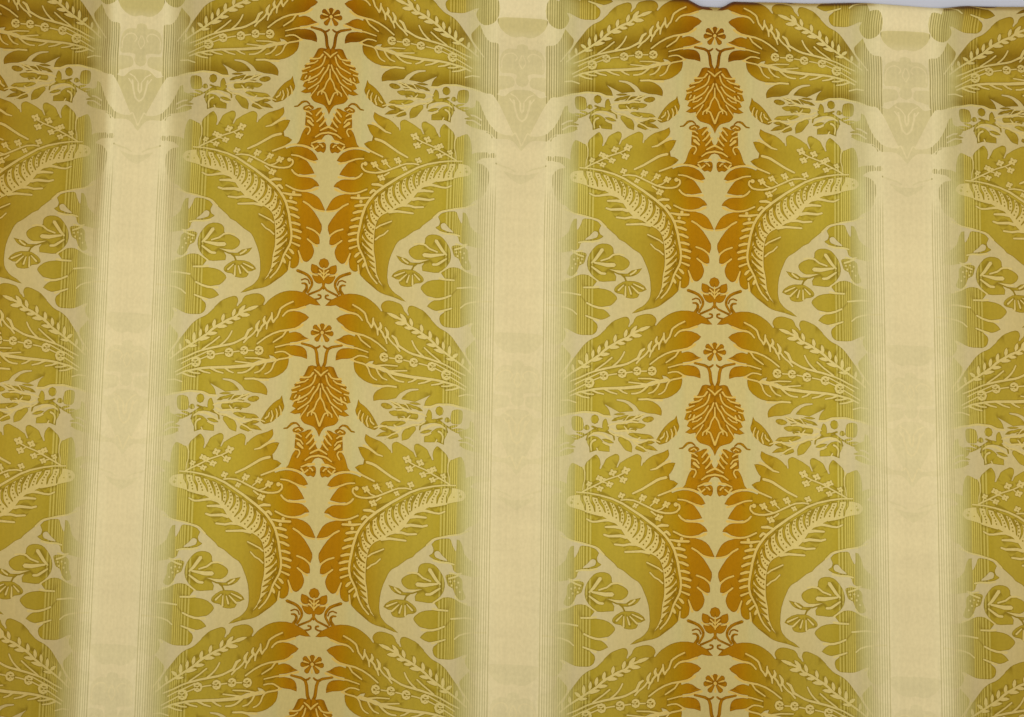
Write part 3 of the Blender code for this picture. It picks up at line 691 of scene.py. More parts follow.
def draw_stripe_side(chart):
    """The pieces that the pattern fades into beside the cream stripe, and the round shells below."""
    chart.fill(FIGURE, [(78.4, 137.4, TIP), (80.4, 135), (84, 133.4), (88, 132.6), (91, 133), (92.6, 137),
                        (95, 141), (95.4, 133, TIP), (97.4, 133.4), (99.6, 138), (100.6, 142), (104, 146),
                        (110, 150), (110, 157), (100, 156.4), (94, 154.4), (92, 150), (86, 148.6),
                        (80, 147.4), (76.8, 145), (79, 143.6), (79.8, 140.6)])
    chart.fill(GROUND, [(80.6, 142.6), (83, 141.6), (86, 144.6), (89.4, 147.6), (84, 147), (81, 145.4)])
    chart.line(LIGHT, [(79.6, 148), (84, 149), (90, 149), (93.8, 149.9)], 1.4, 1.1)
    # The open side flower
    chart.fill(FIGURE, [(69.6, 156.6), (69.8, 153.6), (71.4, 151.4), (74.4, 150.2), (79, 150.4), (82, 152),
                        (84.4, 154.6), (87, 159), (88, 164), (87.4, 168), (85, 172), (82, 174.6),
                        (79.6, 176.6), (72, 176.6), (68.2, 176.2, TIP), (67.8, 173), (69.4, 170.4),
                        (64, 168.9), (61, 167.6), (59, 165.4), (58.5, 162.8), (61, 160), (65, 158.2)])
    chart.line(LIGHT, [(62.5, 158), (66, 157.4), (70, 158), (73, 160.4), (78.4, 162.2)], 1.0, 1.3, 1.1)
    chart.line(LIGHT, [(77.4, 154.4), (79.6, 157.6), (82, 161), (84.8, 163.8)], 2.4, 2.4, 1.2)
    chart.line(LIGHT, [(69.2, 165), (73, 165.2), (78, 164.6), (83, 163.6)], 2.8, 2.6, 1.2)
    chart.line(LIGHT, [(62, 169.4), (68, 169.2), (73, 168.4)], 1.0, 1.3, 0.9)
    chart.line(LIGHT, [(75.4, 171.2), (78, 171), (82, 168.4), (84.8, 166.4)], 1.6, 1.8, 1.1)
    chart.line(LIGHT, [(80.4, 176.6), (84, 174), (88, 172.4)], 1.4, 1.0)
    chart.fill(FIGURE, [(88.4, 157.6), (92, 156.4), (97, 157.4), (99.6, 160), (100, 166), (102, 172),
                        (98.6, 173.6), (95, 170), (93.4, 166), (90.4, 164.4), (89, 161)])
    chart.line(LIGHT, [(90.4, 159.6), (94, 158.4), (98, 156.6)], 1.2)
    chart.line(LIGHT, [(91, 155.6), (95, 156.4), (99, 155.4)], 1.0)
    for side, down in ((91.6, 161.4), (94.4, 161), (97, 161.8), (92.6, 164), (96, 165), (98.2, 168)):
        chart.dot(LIGHT, (side, down), 0.7, 1.2)
    chart.line(LIGHT, [(95, 171), (98, 174.6), (103, 176)], 1.2)
    # A small leaf and a small tulip
    chart.fill(FIGURE, [(49.8, 167, TIP), (53, 167.6), (57, 168.6), (60, 170.8), (66.4, 170.6, TIP),
                        (64, 172.5), (59, 173.1), (55, 172.2), (52, 170.2)])
    chart.line(LIGHT, [(54, 168.6), (56, 170.4), (58.2, 171.6)], 1.2)
    chart.line(FIGURE, [(60, 171.6), (66, 171.2), (73, 168.4)], 1.2, 0.9)
    chart.line(FIGURE, [(61, 176), (62, 173.6), (64, 171.8)], 1.3)
    chart.fill(FIGURE, [(46.8, 182, TIP), (48, 180), (50.6, 177.8), (54, 176.3), (59, 175.8), (63, 176.4),
                        (66.4, 178.4), (69, 181.2), (69.2, 183.2), (67, 184.8), (63.4, 185.4), (61, 187.6),
                        (57, 188.2), (53.4, 187.6), (52, 185.4), (52.2, 183.6), (50, 183.6)])
    for root, head in (((56, 178), (49, 181.4)), ((57.4, 179.4), (52.4, 184.4)), ((59.2, 179.8), (57.6, 185)),
                       ((61.4, 179.6), (61.6, 186.6)), ((62.6, 178.8), (66.4, 182.6))):
        chart.line(LIGHT, [root, head], 0.7, 1.3)
    # The shells
    chart.fill(FIGURE, [(81.2, 176.8), (84, 174.5), (87, 172.5), (90, 171.9), (94, 172.5), (98, 174.8),
                        (104, 177), (110, 178), (112, 186), (108, 195), (110, 203), (108, 208.4),
                        (102, 209.4), (98, 211.4), (94, 213), (88, 213.4), (84, 213), (81.6, 211.2),
                        (80.5, 208), (81.2, 205.4), (84, 202.8), (82, 201.8), (78.6, 202.8), (75, 202),
                        (71.8, 200.2, TIP), (74, 197.5), (77, 195.6), (80, 194.6), (76, 194), (72, 193.3),
                        (69, 191), (67.2, 188), (70, 184.4), (74, 182.3), (79, 181.3), (84, 180.4),
                        (82.6, 178.6)])
    chart.line(GROUND, [(70, 179), (76, 179.2), (81.6, 179.6)], 3.4, 3.0, 1.6)
    chart.line(LIGHT, [(80, 180.4), (84, 180.9), (90.4, 181)], 1.6, 1.1)
    chart.line(LIGHT, [(73, 195), (79, 194.9), (84, 193.6), (88.2, 191.6)], 1.8, 1.4, 1.2)
    chart.line(LIGHT, [(80, 203.4), (83, 202.4), (86, 201.2), (89, 200.2)], 1.6, 1.4, 1.0)
    chart.line(LIGHT, [(92.5, 186.3), (97, 185.6), (103, 185.1), (110, 185.8)], 1.2)
    chart.line(LIGHT, [(95, 199.6), (98, 197), (102, 195.5), (108, 194.5), (116, 194)], 1.0, 1.2)


def draw_gold_axis(chart):
    """The ornaments on the middle of the gold stripe."""
    # The stems that rise from the palmette to the leaves and curl under the daisy
    chart.line(FIGURE, [(0.8, 24.5), (2.3, 21.5), (3, 18), (3.3, 14), (4.2, 11.2), (6, 9.6), (9.7, 8.5),
                        (14, 7.6)], 2.4, 2.2, 1.5)
    chart.line(FIGURE, [(1.2, 8.9), (2.4, 9.9), (4.4, 10.6)], 1.3, 1.6)
    # The daisy
    for side, down in ((0, -6.4), (6.2, -4.6), (8.1, 0.3), (4.5, 5.9), (-6.2, -4.6), (-4.5, 5.9)):
        run = math.hypot(side, down)
        out = np.array((side, down)) / run
        turned = np.array((-out[1], out[0]))
        wide = 1.85
        petal = [out * 0.6 + turned * 0.5, out * (run * 0.6) + turned * wide * 0.8,
                 out * (run - 1.3) + turned * wide, out * (run - 0.2) + turned * 0.9,
                 out * (run - 0.2) - turned * 0.9, out * (run - 1.3) - turned * wide,
                 out * (run * 0.6) - turned * wide * 0.8, out * 0.6 - turned * 0.5]
        chart.outline(FIGURE, petal)
    for turn in (-64, -18, 24, 90, 204, 244):
        angle = math.radians(turn)
        ray = np.array((math.cos(angle), math.sin(angle)))
        chart.line(LIGHT, [tuple(ray * 2.3), tuple(ray * 5.8)], 0.5, 1.3)
    chart.dot(LIGHT, (0, 0), 1.25)
    # The palmette
    chart.fill(FIGURE, [(-2, 23.4), (0, 23.6), (3, 23), (6, 22.4), (8.8, 23.2), (9.8, 25.6),
                        (11.5, 29.2, TIP),
                        (14.8, 32.2, TIP), (14, 33.4, TIP), (18.2, 35.8, TIP), (17.6, 37.2, TIP),
                        (20.2, 39.8, TIP), (19.2, 41.2, TIP), (21, 46.4, TIP), (17.6, 47.6, TIP),
                        (19.2, 51, TIP), (16.6, 52.4, TIP), (20.4, 55.3, TIP), (17, 56.4), (13.2, 55.6, TIP),
                        (13.2, 58), (12.3, 60.5), (10, 62.7), (6.5, 63.8), (4, 64.7), (2.2, 66.5),
                        (1, 69), (0, 71.5), (-3, 71)])
    chart.line(LIGHT, [(-4.6, 25.2), (-2, 27.2), (0, 29.4, TIP), (2, 27.2), (4.6, 25.2)], 0.8, 1.6, 0.8)
    veins = [
        ([(5.2, 27.4), (7, 30), (10, 31), (14, 30.6)], 1.4, 1.0, 1.6),
        ([(8.6, 32), (11, 33.8), (16.5, 34.9)], 0.8, 1.4),
        ([(3.5, 29), (4.5, 33), (6.5, 36), (10, 38), (14.4, 40.2)], 1.1, 0.9),
        ([(4.4, 37), (7, 41), (11, 44), (15, 46), (18.6, 47.6)], 1.0, 1.2),
        ([(0.8, 35), (2, 38.5), (4.5, 42), (7, 47), (12, 51), (15, 53)], 1.1, 1.0),
        ([(9, 45), (12, 47.4), (15.4, 48.2)], 0.9),
        ([(14, 36.8), (19.4, 38.8)], 0.8, 1.2),
        ([(16.2, 40.8), (19.6, 41.6)], 0.8, 1.2),
        ([(16.4, 43), (17.6, 45.2)], 0.9),
        ([(14, 43.4), (15, 46.6)], 1.0, 1.6),
        ([(0, 38), (0, 44.4)], 0.7, 1.4),
        ([(0, 44), (2.3, 47.6), (3.5, 51.5), (6, 54), (8, 55.4), (8.4, 57.4)], 1.1, 1.0),
        ([(3.5, 52), (5.5, 54.6), (5.6, 56.6)], 0.9),
        ([(8, 50), (10, 53.4), (12.6, 57), (13.4, 59)], 0.9),
        ([(0, 64), (2, 58.4), (3.4, 55.4), (5.4, 54.4)], 1.4, 1.0),
        ([(-0.6, 61), (0, 64)], 1.0),
    ]
    for vein in veins:
        chart.line(LIGHT, *vein)
    # The small slanted fern leaf beside the palmette
    chart.fill(FIGURE, [(26.2, 43.5, TIP), (27.5, 46), (30, 47.5), (33, 50), (35.5, 53), (37.5, 56),
                        (39.3, 59.4), (40.4, 61.4), (38, 63.6), (35.5, 63.2), (33, 62.4), (31.6, 61.6),
                        (29.5, 59.2), (28, 58.6), (26.8, 56.8), (25, 54), (24.3, 51), (25.3, 47.8)])
    for comb in ([(27.8, 51), (26.6, 54), (26.4, 57)], [(30, 53), (29, 56), (29.4, 59.2)],
                 [(33, 54.4), (32, 58), (33.2, 61.6)], [(34.4, 55.6), (35, 58), (37.2, 59.8)],
                 [(37.4, 62), (41, 60.6), (46, 60.2)]):
        chart.line(LIGHT, comb, 0.8, 1.2)
    # The curl on the axis fern's shoulder
    chart.line(FIGURE, [(13.5, 64.4), (16, 62.4), (19, 63), (20.6, 64.8), (22, 66), (24.2, 66.3)],
               1.0, 1.8, 1.0)
    chart.fill(FIGURE, [(10.4, 66.8), (13, 64.8), (17, 65.6), (18.4, 67.4), (17, 69), (13, 68.8)])
    chart.line(LIGHT, [(12.6, 67.6), (14.2, 66.2), (16.4, 67.4)], 0.9)
    # The upright fern
    chart.fill(FIGURE, [(5.4, 66.4, TIP), (8, 66.8), (10, 68), (12, 68.4), (16.2, 70, TIP), (16, 72),
                        (16.4, 74.6), (16.5, 79.4, TIP), (15, 80), (16.6, 81.6), (18, 84), (19.4, 88),
                        (20.3, 91), (22, 93, TIP), (17, 93.4), (13, 94.6), (10, 96), (7, 98.6), (5, 98),
                        (3, 99), (1.6, 97), (1.6, 92.4), (3.4, 91.2), (6, 92), (8, 91.6), (5, 90), (2.4, 86.4),
                        (-1, 85), (-1, 81), (0, 80.6), (1.4, 78.4), (2.6, 75.4), (3.8, 71.4), (5.4, 69)])
    for barb in ([(4.6, 67.6), (7, 70), (8.8, 72.4)], [(3.2, 70.6), (6, 74.5), (8.4, 76.6)],
                 [(2, 74.6), (4, 77.5), (6.4, 80)], [(0, 80), (2.5, 81), (5.7, 82.8)],
                 [(-1, 84), (3, 84.5), (6, 85.5), (9, 87.6)]):
        chart.line(LIGHT, barb, 1.4, 1.0)
    for barb in ([(17, 69.2), (14, 70), (12, 71.6)], [(15.8, 72.9), (12.5, 74.2), (10.8, 76.7)]):
        chart.line(LIGHT, barb, 1.1, 0.9)
    chart.line(LIGHT, [(14.4, 76.2), (12.6, 77.8), (10.8, 79.4)], 2.2, 1.3)
    chart.line(LIGHT, [(17, 80.4), (13.9, 80.5), (12.8, 82.5), (14.5, 85.9)], 1.0)
    chart.line(LIGHT, [(1.5, 90), (7, 90.3), (11.6, 92.2)], 1.8, 1.4, 0.9)
    chart.dot(GROUND, (0, 89.3), 2.4, 1.5)
    for hook in ([(3.5, 94.6), (4.8, 93), (6, 92.8)], [(6.8, 94), (9.6, 96.2)]):
        chart.line(LIGHT, hook, 1.1, 0.9)
    chart.line(LIGHT, [(9.6, 96.4), (10.4, 94.6), (11.6, 93.4)], 1.2)
    # The little flower where the great leaves' tails part
    chart.dot(FIGURE, (0, 177), 3.7)
    for side in (1, -1):
        chart.fill(FIGURE, [(3 * side, 180.2), (5 * side, 178.5), (7 * side, 178), (8.4 * side, 177.4),
                            (9.1 * side, 180), (8.8 * side, 182.4), (7.5 * side, 184), (5 * side, 184.4),
                            (2 * side, 184), (0, 182)])
        chart.fill(FIGURE, [(0, 190), (1 * side, 187), (2.6 * side, 185.2), (5 * side, 184.8),
                            (8 * side, 185.3), (7.3 * side, 188), (5.5 * side, 190.3), (3 * side, 191.2)])
    chart.line(LIGHT, [(9.4, 183.6), (6.6, 185.2), (4, 185.6)], 1.2, 0.6)
    chart.line(FIGURE, [(0, 184), (0, 190), (0, 194.6)], 3.4, 3.4, 1.6)
    chart.line(LIGHT, [(0, 180), (0, 188.4)], 0.8, 1.6, 0.8)
    chart.line(LIGHT, [(0, 184.8), (1.6, 183.4), (3.2, 181.6)], 0.9)
    chart.line(LIGHT, [(0, 187.6), (2, 184.8), (3.8, 184)], 0.9)
    chart.line(FIGURE, [(0.4, 193), (2, 195), (5, 196.6), (10, 198.6)], 1.4, 1.6)
    # The curls on each side of it
    chart.line(FIGURE, [(18.4, 182.4), (15, 183.6), (11, 185.6), (8.4, 189), (8, 192), (9.5, 195),
                        (11, 197.6)], 2.2, 2.0, 1.5)
    chart.line(FIGURE, [(15.4, 188.9), (13, 188), (10.5, 189), (9.6, 191.4)], 1.1)
    chart.line(FIGURE, [(15, 191.2), (13, 191.2), (11.6, 192.6), (11.7, 195), (13.4, 197.6)], 1.2, 2.6)
    chart.line(FIGURE, [(3.5, 198.7), (1.9, 199), (1.7, 200.6), (3.2, 201.4), (6, 201.8)], 1.5, 1.2)


def draw_pattern():
    """Every motif of half a repeat, from the ground up."""
    chart = Chart()
    draw_cream_motifs(chart)
    draw_stripe_side(chart)
    draw_wing_leaf(chart)
    draw_tulip_chain(chart)
    draw_wing_sprig(chart)
    draw_spray(chart)
    draw_body_leaf(chart)
    draw_trefoil_sprig(chart)
    draw_feather(chart)
    draw_gold_axis(chart)
    return chart.shapes


def shapes_in_tile(shapes):
    """The shapes with the copies of them that reach in from the repeats above and below."""
    found = []
    for weave, outline in shapes:
        for shift in (-LENGTH, 0.0, LENGTH, 2 * LENGTH):
            moved = outline + (0.0, shift)
            if moved[:, 1].max() > TILE_TOP and moved[:, 1].min() < TILE_BOTTOM:
                found.append((weave, moved))
    return found


def grid_points(outlines):
    """Evenly spread points, clear of the outlines, that let the cloth follow its folds."""
    down_rows = round(LENGTH / GRID_PITCH)
    side_rows = round(HALF_WIDTH / GRID_PITCH)
    sides = np.linspace(0, HALF_WIDTH, side_rows + 1)
    downs = np.linspace(TILE_TOP, TILE_BOTTOM, down_rows + 1)
    border = [(side, down) for side in sides for down in (TILE_TOP, TILE_BOTTOM)]
    border += [(side, down) for side in (0.0, HALF_WIDTH) for down in downs[1:-1]]
    marks = np.vstack(outlines)
    inner = []
    for down in downs[1:-1]:
        near = marks[np.abs(marks[:, 1] - down) < GRID_CLEARANCE]
        for side in sides[1:-1]:
            gaps = np.hypot(near[:, 0] - side, near[:, 1] - down)
            if len(gaps) == 0 or gaps.min() > GRID_CLEARANCE:
                inner.append((side, down))
    return border, inner


def inside(outline, places):
    """Which places lie inside the outline, by how often it winds round them."""
    turns = np.zeros(len(places), int)
    x, y = places[:, 0], places[:, 1]
    for start, end in zip(outline, np.roll(outline, -1, axis=0)):
        across = (end[0] - start[0]) * (y - start[1]) - (x - start[0]) * (end[1] - start[1])
        turns += ((start[1] <= y) & (end[1] > y) & (across > 0)).astype(int)
        turns -= ((start[1] > y) & (end[1] <= y) & (across < 0)).astype(int)
    return turns != 0


def outline_edges(shapes):
    """The corners of every outline, and the edges that join them."""
    places, edges = [], []
    for _, outline in shapes:
        first = len(places)
        places.extend(map(tuple, outline))
        count = len(outline)
        edges.extend((first + i, first + (i + 1) % count) for i in range(count))
    return places, edges


def woven_triangles(shapes, places, edges):
    """The half repeat as triangles that keep the given edges, and the weave of each."""
    corners = [(0.0, TILE_TOP), (HALF_WIDTH, TILE_TOP), (HALF_WIDTH, TILE_BOTTOM), (0.0, TILE_BOTTOM)]
    first = len(places)
    frame_edges = [(first + i, first + (i + 1) % 4) for i in range(4)]
    middle = np.array((HALF_WIDTH / 2, (TILE_TOP + TILE_BOTTOM) / 2))
    vectors = [Vector(np.array(place) - middle) for place in places + corners]
    made = delaunay_2d_cdt(vectors, edges + frame_edges, [], 0, 1e-4)
    points = np.array([tuple(vector) for vector in made[0]]) + middle
    triangles = np.array(made[2])
    middles = points[triangles].mean(axis=1)
    kept = (middles[:, 0] > 0) & (middles[:, 0] < HALF_WIDTH)
    kept &= (middles[:, 1] > TILE_TOP) & (middles[:, 1] < TILE_BOTTOM)
    triangles, middles = triangles[kept], middles[kept]
    weaves = np.zeros(len(triangles), int)
    for weave, outline in shapes:
        low, high = outline.min(axis=0), outline.max(axis=0)
        near = np.flatnonzero(np.all((middles >= low) & (middles <= high), axis=1))
        if len(near):
            weaves[near[inside(outline, middles[near])]] = weave
    return points, triangles, weaves


def weave_borders(triangles, weaves):
    """The edges where two weaves meet, and the triangles on each side of them."""
    edges = np.sort(np.vstack((triangles[:, [0, 1]], triangles[:, [1, 2]], triangles[:, [2, 0]])), axis=1)
    owners = np.tile(np.arange(len(triangles)), 3)
    order = np.lexsort((edges[:, 1], edges[:, 0]))
    edges, owners = edges[order], owners[order]
    shared = np.all(edges[1:] == edges[:-1], axis=1)
    edges, first, second = edges[:-1][shared], owners[:-1][shared], owners[1:][shared]
    meets = weaves[first] != weaves[second]
    return edges[meets], first[meets], second[meets]


def straightened(points, edges):
    """The borders without the corners that lie on a nearly straight run of them."""
    beside = {}
    for start, end in edges.tolist():
        beside.setdefault(start, set()).add(end)
        beside.setdefault(end, set()).add(start)
    for _ in range(2):
        settled = set()
        for corner in list(beside):
            if corner in settled or len(beside[corner]) != 2:
                continue
            start, end = beside[corner]
            run = points[end] - points[start]
            length = math.hypot(*run)
            step = points[corner] - points[start]
            if end in beside[start] or not 0 < length < 6.0:
                continue
            if abs(step[0] * run[1] - step[1] * run[0]) / length > STRAIGHTNESS:
                continue
            beside[start].remove(corner)
            beside[start].add(end)
            beside[end].remove(corner)
            beside[end].add(start)
            del beside[corner]
            settled.update((start, end))
    number = {corner: i for i, corner in enumerate(beside)}
    places = [tuple(points[corner]) for corner in beside]
    kept = [(number[start], number[end]) for start in beside for end in beside[start] if start < end]
    return places, kept


def distance_to_edges(places, starts, ends):
    """How far each place is from the nearest edge."""
    runs = ends - starts
    squares = np.maximum((runs**2).sum(axis=1), 1e-12)
    nearest = []
    for group in np.array_split(places, max(1, len(places) // 400)):
        offsets = group[:, None, :] - starts[None]
        share = np.clip((offsets * runs).sum(axis=2) / squares, 0.0, 1.0)
        gaps = offsets - share[..., None] * runs
        nearest.append(np.sqrt((gaps**2).sum(axis=2).min(axis=1)))
    return np.concatenate(nearest)


def rim_points(points, triangles, edges, owners):
    """Points just inside the figure's outline, where its darker rim ends."""
    middles = points[triangles[owners]].mean(axis=1)
    starts, ends = points[edges[:, 0]], points[edges[:, 1]]
    runs = ends - starts
    inward = np.column_stack((-runs[:, 1], runs[:, 0])) / np.hypot(runs[:, 0], runs[:, 1])[:, None]
    inward *= np.sign(((middles - starts) * inward).sum(axis=1))[:, None]
    total = np.zeros((len(points), 2))
    meeting = np.zeros(len(points), int)
    for end in (0, 1):
        np.add.at(total, edges[:, end], inward)
        np.add.at(meeting, edges[:, end], 1)
    length = np.hypot(total[:, 0], total[:, 1])
    plain = (meeting == 2) & (length > 0.5)
    moved = points[plain] + total[plain] / length[plain, None] ** 2 * 2 * RIM_WIDTH
    clear = (moved[:, 0] > 0.4) & (moved[:, 0] < HALF_WIDTH - 0.4)
    clear &= (moved[:, 1] > TILE_TOP + 0.4) & (moved[:, 1] < TILE_BOTTOM - 0.4)
    moved = moved[clear]
    moved = moved[distance_to_edges(moved, starts, ends) > 0.8 * RIM_WIDTH]
    _, first = np.unique(np.round(moved / RIM_SPACING), axis=0, return_index=True)
    return moved[np.sort(first)]


def half_repeat_mesh():
    """The half repeat as a flat mesh: x from the cream stripe's middle, y up, in metres."""
    shapes = shapes_in_tile(draw_pattern())
    places, edges = outline_edges(shapes)
    border, inner = grid_points([outline for _, outline in shapes])
    points, triangles, weaves = woven_triangles(shapes, places + border, edges)
    places, edges = straightened(points, weave_borders(triangles, weaves)[0])
    places += border + inner
    points, triangles, weaves = woven_triangles(shapes, places, edges)
    meeting, first, second = weave_borders(triangles, weaves)
    figured = (weaves[first] == FIGURE) | (weaves[second] == FIGURE)
    meeting = meeting[figured]
    owners = np.where(weaves[first] == FIGURE, first, second)[figured]
    starts, ends = points[meeting[:, 0]], points[meeting[:, 1]]
    rims = rim_points(points, triangles, meeting, owners)
    points, triangles, weaves = woven_triangles(shapes, places + [tuple(place) for place in rims], edges)
    inset = distance_to_edges(points, starts, ends)
    flat = np.column_stack((HALF_WIDTH - points[:, 0], TILE_BOTTOM - points[:, 1], np.zeros(len(points))))
    sides = flat[triangles]
    turn = np.cross(sides[:, 1] - sides[:, 0], sides[:, 2] - sides[:, 0])[:, 2]
    triangles[turn < 0] = triangles[turn < 0][:, ::-1]
    mesh = bpy.data.meshes.new("half_repeat")
    mesh.from_pydata((flat * MM).tolist(), [], triangles.tolist())
    weave = mesh.attributes.new("weave", "INT", "FACE")
    weave.data.foreach_set("value", weaves.astype(np.int32))
    distance = mesh.attributes.new("inset", "FLOAT", "POINT")
    distance.data.foreach_set("value", inset.astype(np.float32))
    return mesh


class Wire:
    """A socket of a shader that can be used in sums."""

    def __init__(self, recipe, socket):
        self.recipe = recipe
        self.socket = socket

    def maths(self, operation, *values):
        return self.recipe.maths(operation, *values)

    def __add__(self, other):
        return self.maths("ADD", self, other)

    def __radd__(self, other):
        return self.maths("ADD", other, self)

    def __sub__(self, other):
        return self.maths("SUBTRACT", self, other)

    def __rsub__(self, other):
        return self.maths("SUBTRACT", other, self)

    def __mul__(self, other):
        return self.maths("MULTIPLY", self, other)

    def __rmul__(self, other):
        return self.maths("MULTIPLY", other, self)

    def __truediv__(self, other):
        return self.maths("DIVIDE", self, other)


class Recipe:
    """A material's node tree, built one node at a time."""

    def __init__(self, name):
        self.material = bpy.data.materials.new(name)
        self.material.use_nodes = True
        self.tree = self.material.node_tree
        self.tree.nodes.clear()

    def node(self, kind, settings=None, values=()):
        """A node with its settings and then its sockets' values or links. Gives its outputs."""
        made = self.tree.nodes.new("ShaderNode" + kind)
        for name, value in (settings or {}).items():
            if name == "stops":
                self.set_stops(made.color_ramp, value)
            else:
                setattr(made, name, value)
        pairs = values.items() if isinstance(values, dict) else enumerate(values)
        for place, value in pairs:
            if isinstance(value, Wire):
                self.tree.links.new(value.socket, made.inputs[place])
            else:
                made.inputs[place].default_value = value
        return [Wire(self, socket) for socket in made.outputs]

    def eased(self, value, start, end, first=0.0, last=1.0):
        """A number that eases from first to last while the value goes from start to end."""
        settings = {"interpolation_type": "SMOOTHSTEP"}
        return self.node("MapRange", settings, (value, start, end, first, last))[0]

    def maths(self, operation, *values):
        """One sum that has no sign of its own."""
        return self.node("Math", {"operation": operation}, values)[0]

    def uneven(self, place, pattern):
        """Soft noise over the weave, as often across and along as the pattern says."""
        across, along, detail = pattern
        scaled = self.node("Mapping", None, {0: place, 3: (across, along, 1.0)})[0]
        return self.node("TexNoise", {"noise_dimensions": "2D"}, {0: scaled, 2: 1.0, 3: detail})[0]

    def multiplied(self, share, colour, by):
        """A colour multiplied by another, as far as the share says."""
        return self.mix(share, colour, by, "MULTIPLY")

    def set_stops(self, ramp, stops):
        """Gives a colour ramp its stops, in order."""
        while len(ramp.elements) > 1:
            ramp.elements.remove(ramp.elements[-1])
        ramp.elements[0].position = stops[0][0]
        ramp.elements[0].color = stops[0][1]
        for place, colour in stops[1:]:
            ramp.elements.new(place).color = colour

    def mix(self, share, first, second, blend="MIX"):
        """Two colours mixed."""
        settings = {"data_type": "RGBA", "blend_type": blend}
        return self.node("Mix", settings, {0: share, 6: first, 7: second})[2]


def dye(red, green, blue, strength=1.0):
    """A colour as seen, 0 to 255 a channel, as the shader takes it."""
    linear = [((value / 255 + 0.055) / 1.055) ** 2.4 for value in (red, green, blue)]
    return tuple(min(1.0, value * strength) for value in linear) + (1.0,)


# Colours across half a repeat: millimetres from the gold stripe's middle, and the colour as seen
FIGURE_SHADES = [
    (0, (165, 109, 3)), (16, (166, 112, 3)), (19, (169, 119, 4)), (26, (165, 125, 12)), (36, (168, 133, 28)),
    (46, (172, 144, 42)), (53, (175, 149, 45)), (67, (176, 152, 50)), (78, (176, 153, 49)),
    (83, (172, 149, 44)), (85, (156, 136, 43)), (94, (160, 142, 56)), (95.5, (178, 163, 88)),
    (98, (187, 174, 104)), (101, (196, 184, 120)), (104, (203, 191, 132)), (108, (212, 199, 144)),
    (112, (216, 202, 150)), (116, (220, 205, 154)), (120, (215, 199, 149)), (127, (212, 196, 147)),
    (135, (212, 196, 147)),
]
GROUND_SHADES = [
    (0, (194, 175, 113)), (20, (195, 176, 114)), (24, (193, 178, 119)), (32, (196, 178, 122)),
    (45, (197, 178, 121)), (62, (200, 181, 124)), (88, (200, 183, 134)), (95, (198, 182, 136)),
    (100, (198, 183, 132)), (104, (202, 187, 136)), (110, (213, 198, 148)), (116, (220, 204, 155)),
    (120, (216, 199, 151)), (127, (215, 197, 149)), (135, (215, 197, 149)),
]
LIGHT_SHADES = [
    (0, (206, 170, 82)), (17, (207, 172, 86)), (26, (206, 176, 96)), (36, (207, 181, 106)),
    (46, (208, 185, 112)), (62, (209, 187, 117)), (80, (209, 188, 118)), (92, (207, 189, 120)),
    (100, (205, 190, 130)), (110, (213, 198, 144)), (120, (216, 198, 148)), (135, (215, 197, 146)),
]

# The fine warp lines where olive meets cream: millimetres from the gold stripe, width and strength
PALE_WARPS = [
    (84.4, 1.1, 0.82), (86.6, 1.1, 0.80), (88.8, 0.9, 0.85), (90.4, 0.8, 0.75), (91.7, 0.7, 0.90),
    (93.1, 0.7, 0.95), (94.5, 0.7, 0.85),
]
GREEN_WARPS = [
    (96.0, 0.6, 0.32), (97.4, 0.6, 0.40), (98.8, 0.6, 0.32), (100.2, 0.6, 0.40), (101.6, 0.6, 0.32),
    (103.2, 0.7, 0.36), (104.8, 0.7, 0.42),
]
DARK_WARPS = [
    (106.3, 0.7, 0.46), (107.8, 0.7, 0.50), (109.2, 0.7, 0.50), (110.9, 0.7, 0.50), (112.6, 0.6, 0.52),
    (114.4, 0.6, 0.52), (115.9, 0.6, 0.58), (117.7, 0.6, 0.62),
]


# Painted shade and highlight of the waves on the figure's satin in the top row: millimetres below the top
# flowers, and the share of its plain shade, beside the gold stripe's middle and further out
WAVE_SHADE_NEAR_GOLD = [
    (-27, 0.55), (-20, 0.85), (-14, 0.95), (-8, 0.78), (-3, 0.66), (2, 0.90), (8, 0.82), (14, 0.50),
    (20, 0.76), (27, 0.96), (50, 0.97), (60, 0.88), (72, 1.02), (84, 0.92), (100, 0.86), (112, 0.90),
    (132, 1.07), (150, 1.0),
]
WAVE_SHADE_OUTSIDE = [
    (-27, 0.60), (-22, 0.95), (-16, 1.04), (-8, 1.02), (-2, 0.88), (4, 0.62), (9, 0.72), (15, 1.02),
    (21, 1.12), (25, 0.94), (28, 1.02), (34, 0.86), (40, 0.62), (46, 0.78), (57, 1.08), (66, 0.76),
    (72, 1.03), (84, 0.93), (96, 0.97), (106, 1.08), (120, 1.02), (132, 1.02), (150, 0.97), (168, 1.0),
]
WAVE_SHADE_START = -30.0
WAVE_SHADE_LENGTH = 200.0
WAVE_SHADE_TOP = 1.25


# How the tones change over the cloth. Each row gives the places between which a tone comes or goes, in
# millimetres, and then its share at each of them.
FIGURE_MEETS_CREAM = (94.0, 110.0)
BESIDE_THE_GOLD = (24.0, 42.0)
# Painted shade: the satin is browner near the top flowers
SHADE_BROWN_AT_THE_TOP = (0.0, 70.0, 1.0, 0.0)
CREAM_FROM_THE_LEFT = (-120.0, 0.0, 1.0, 0.6)
CREAM_MIDDLE = (115.0, 120.0)
# The cream figure's top shell and top row carry painted shade over its tone on tone
CREAM_TOP_SHELL_SHADE = (-3.0, 6.0, 1.0, 0.0)
CREAM_TOP_ROW = (40.0, 122.0, 1.0, 0.0)
CREAM_BELOW_BRACKET = (36.0, 48.0, 0.55, 1.0)
RIM_FADES = (84.0, 102.0, 1.0, 0.0)
WARPS_CLOSE = (108.0, 126.0)
PUCKERED = (96.0, 124.0, 0.15, 1.0)
CREAM_BEGINS = (106.0, 116.0)
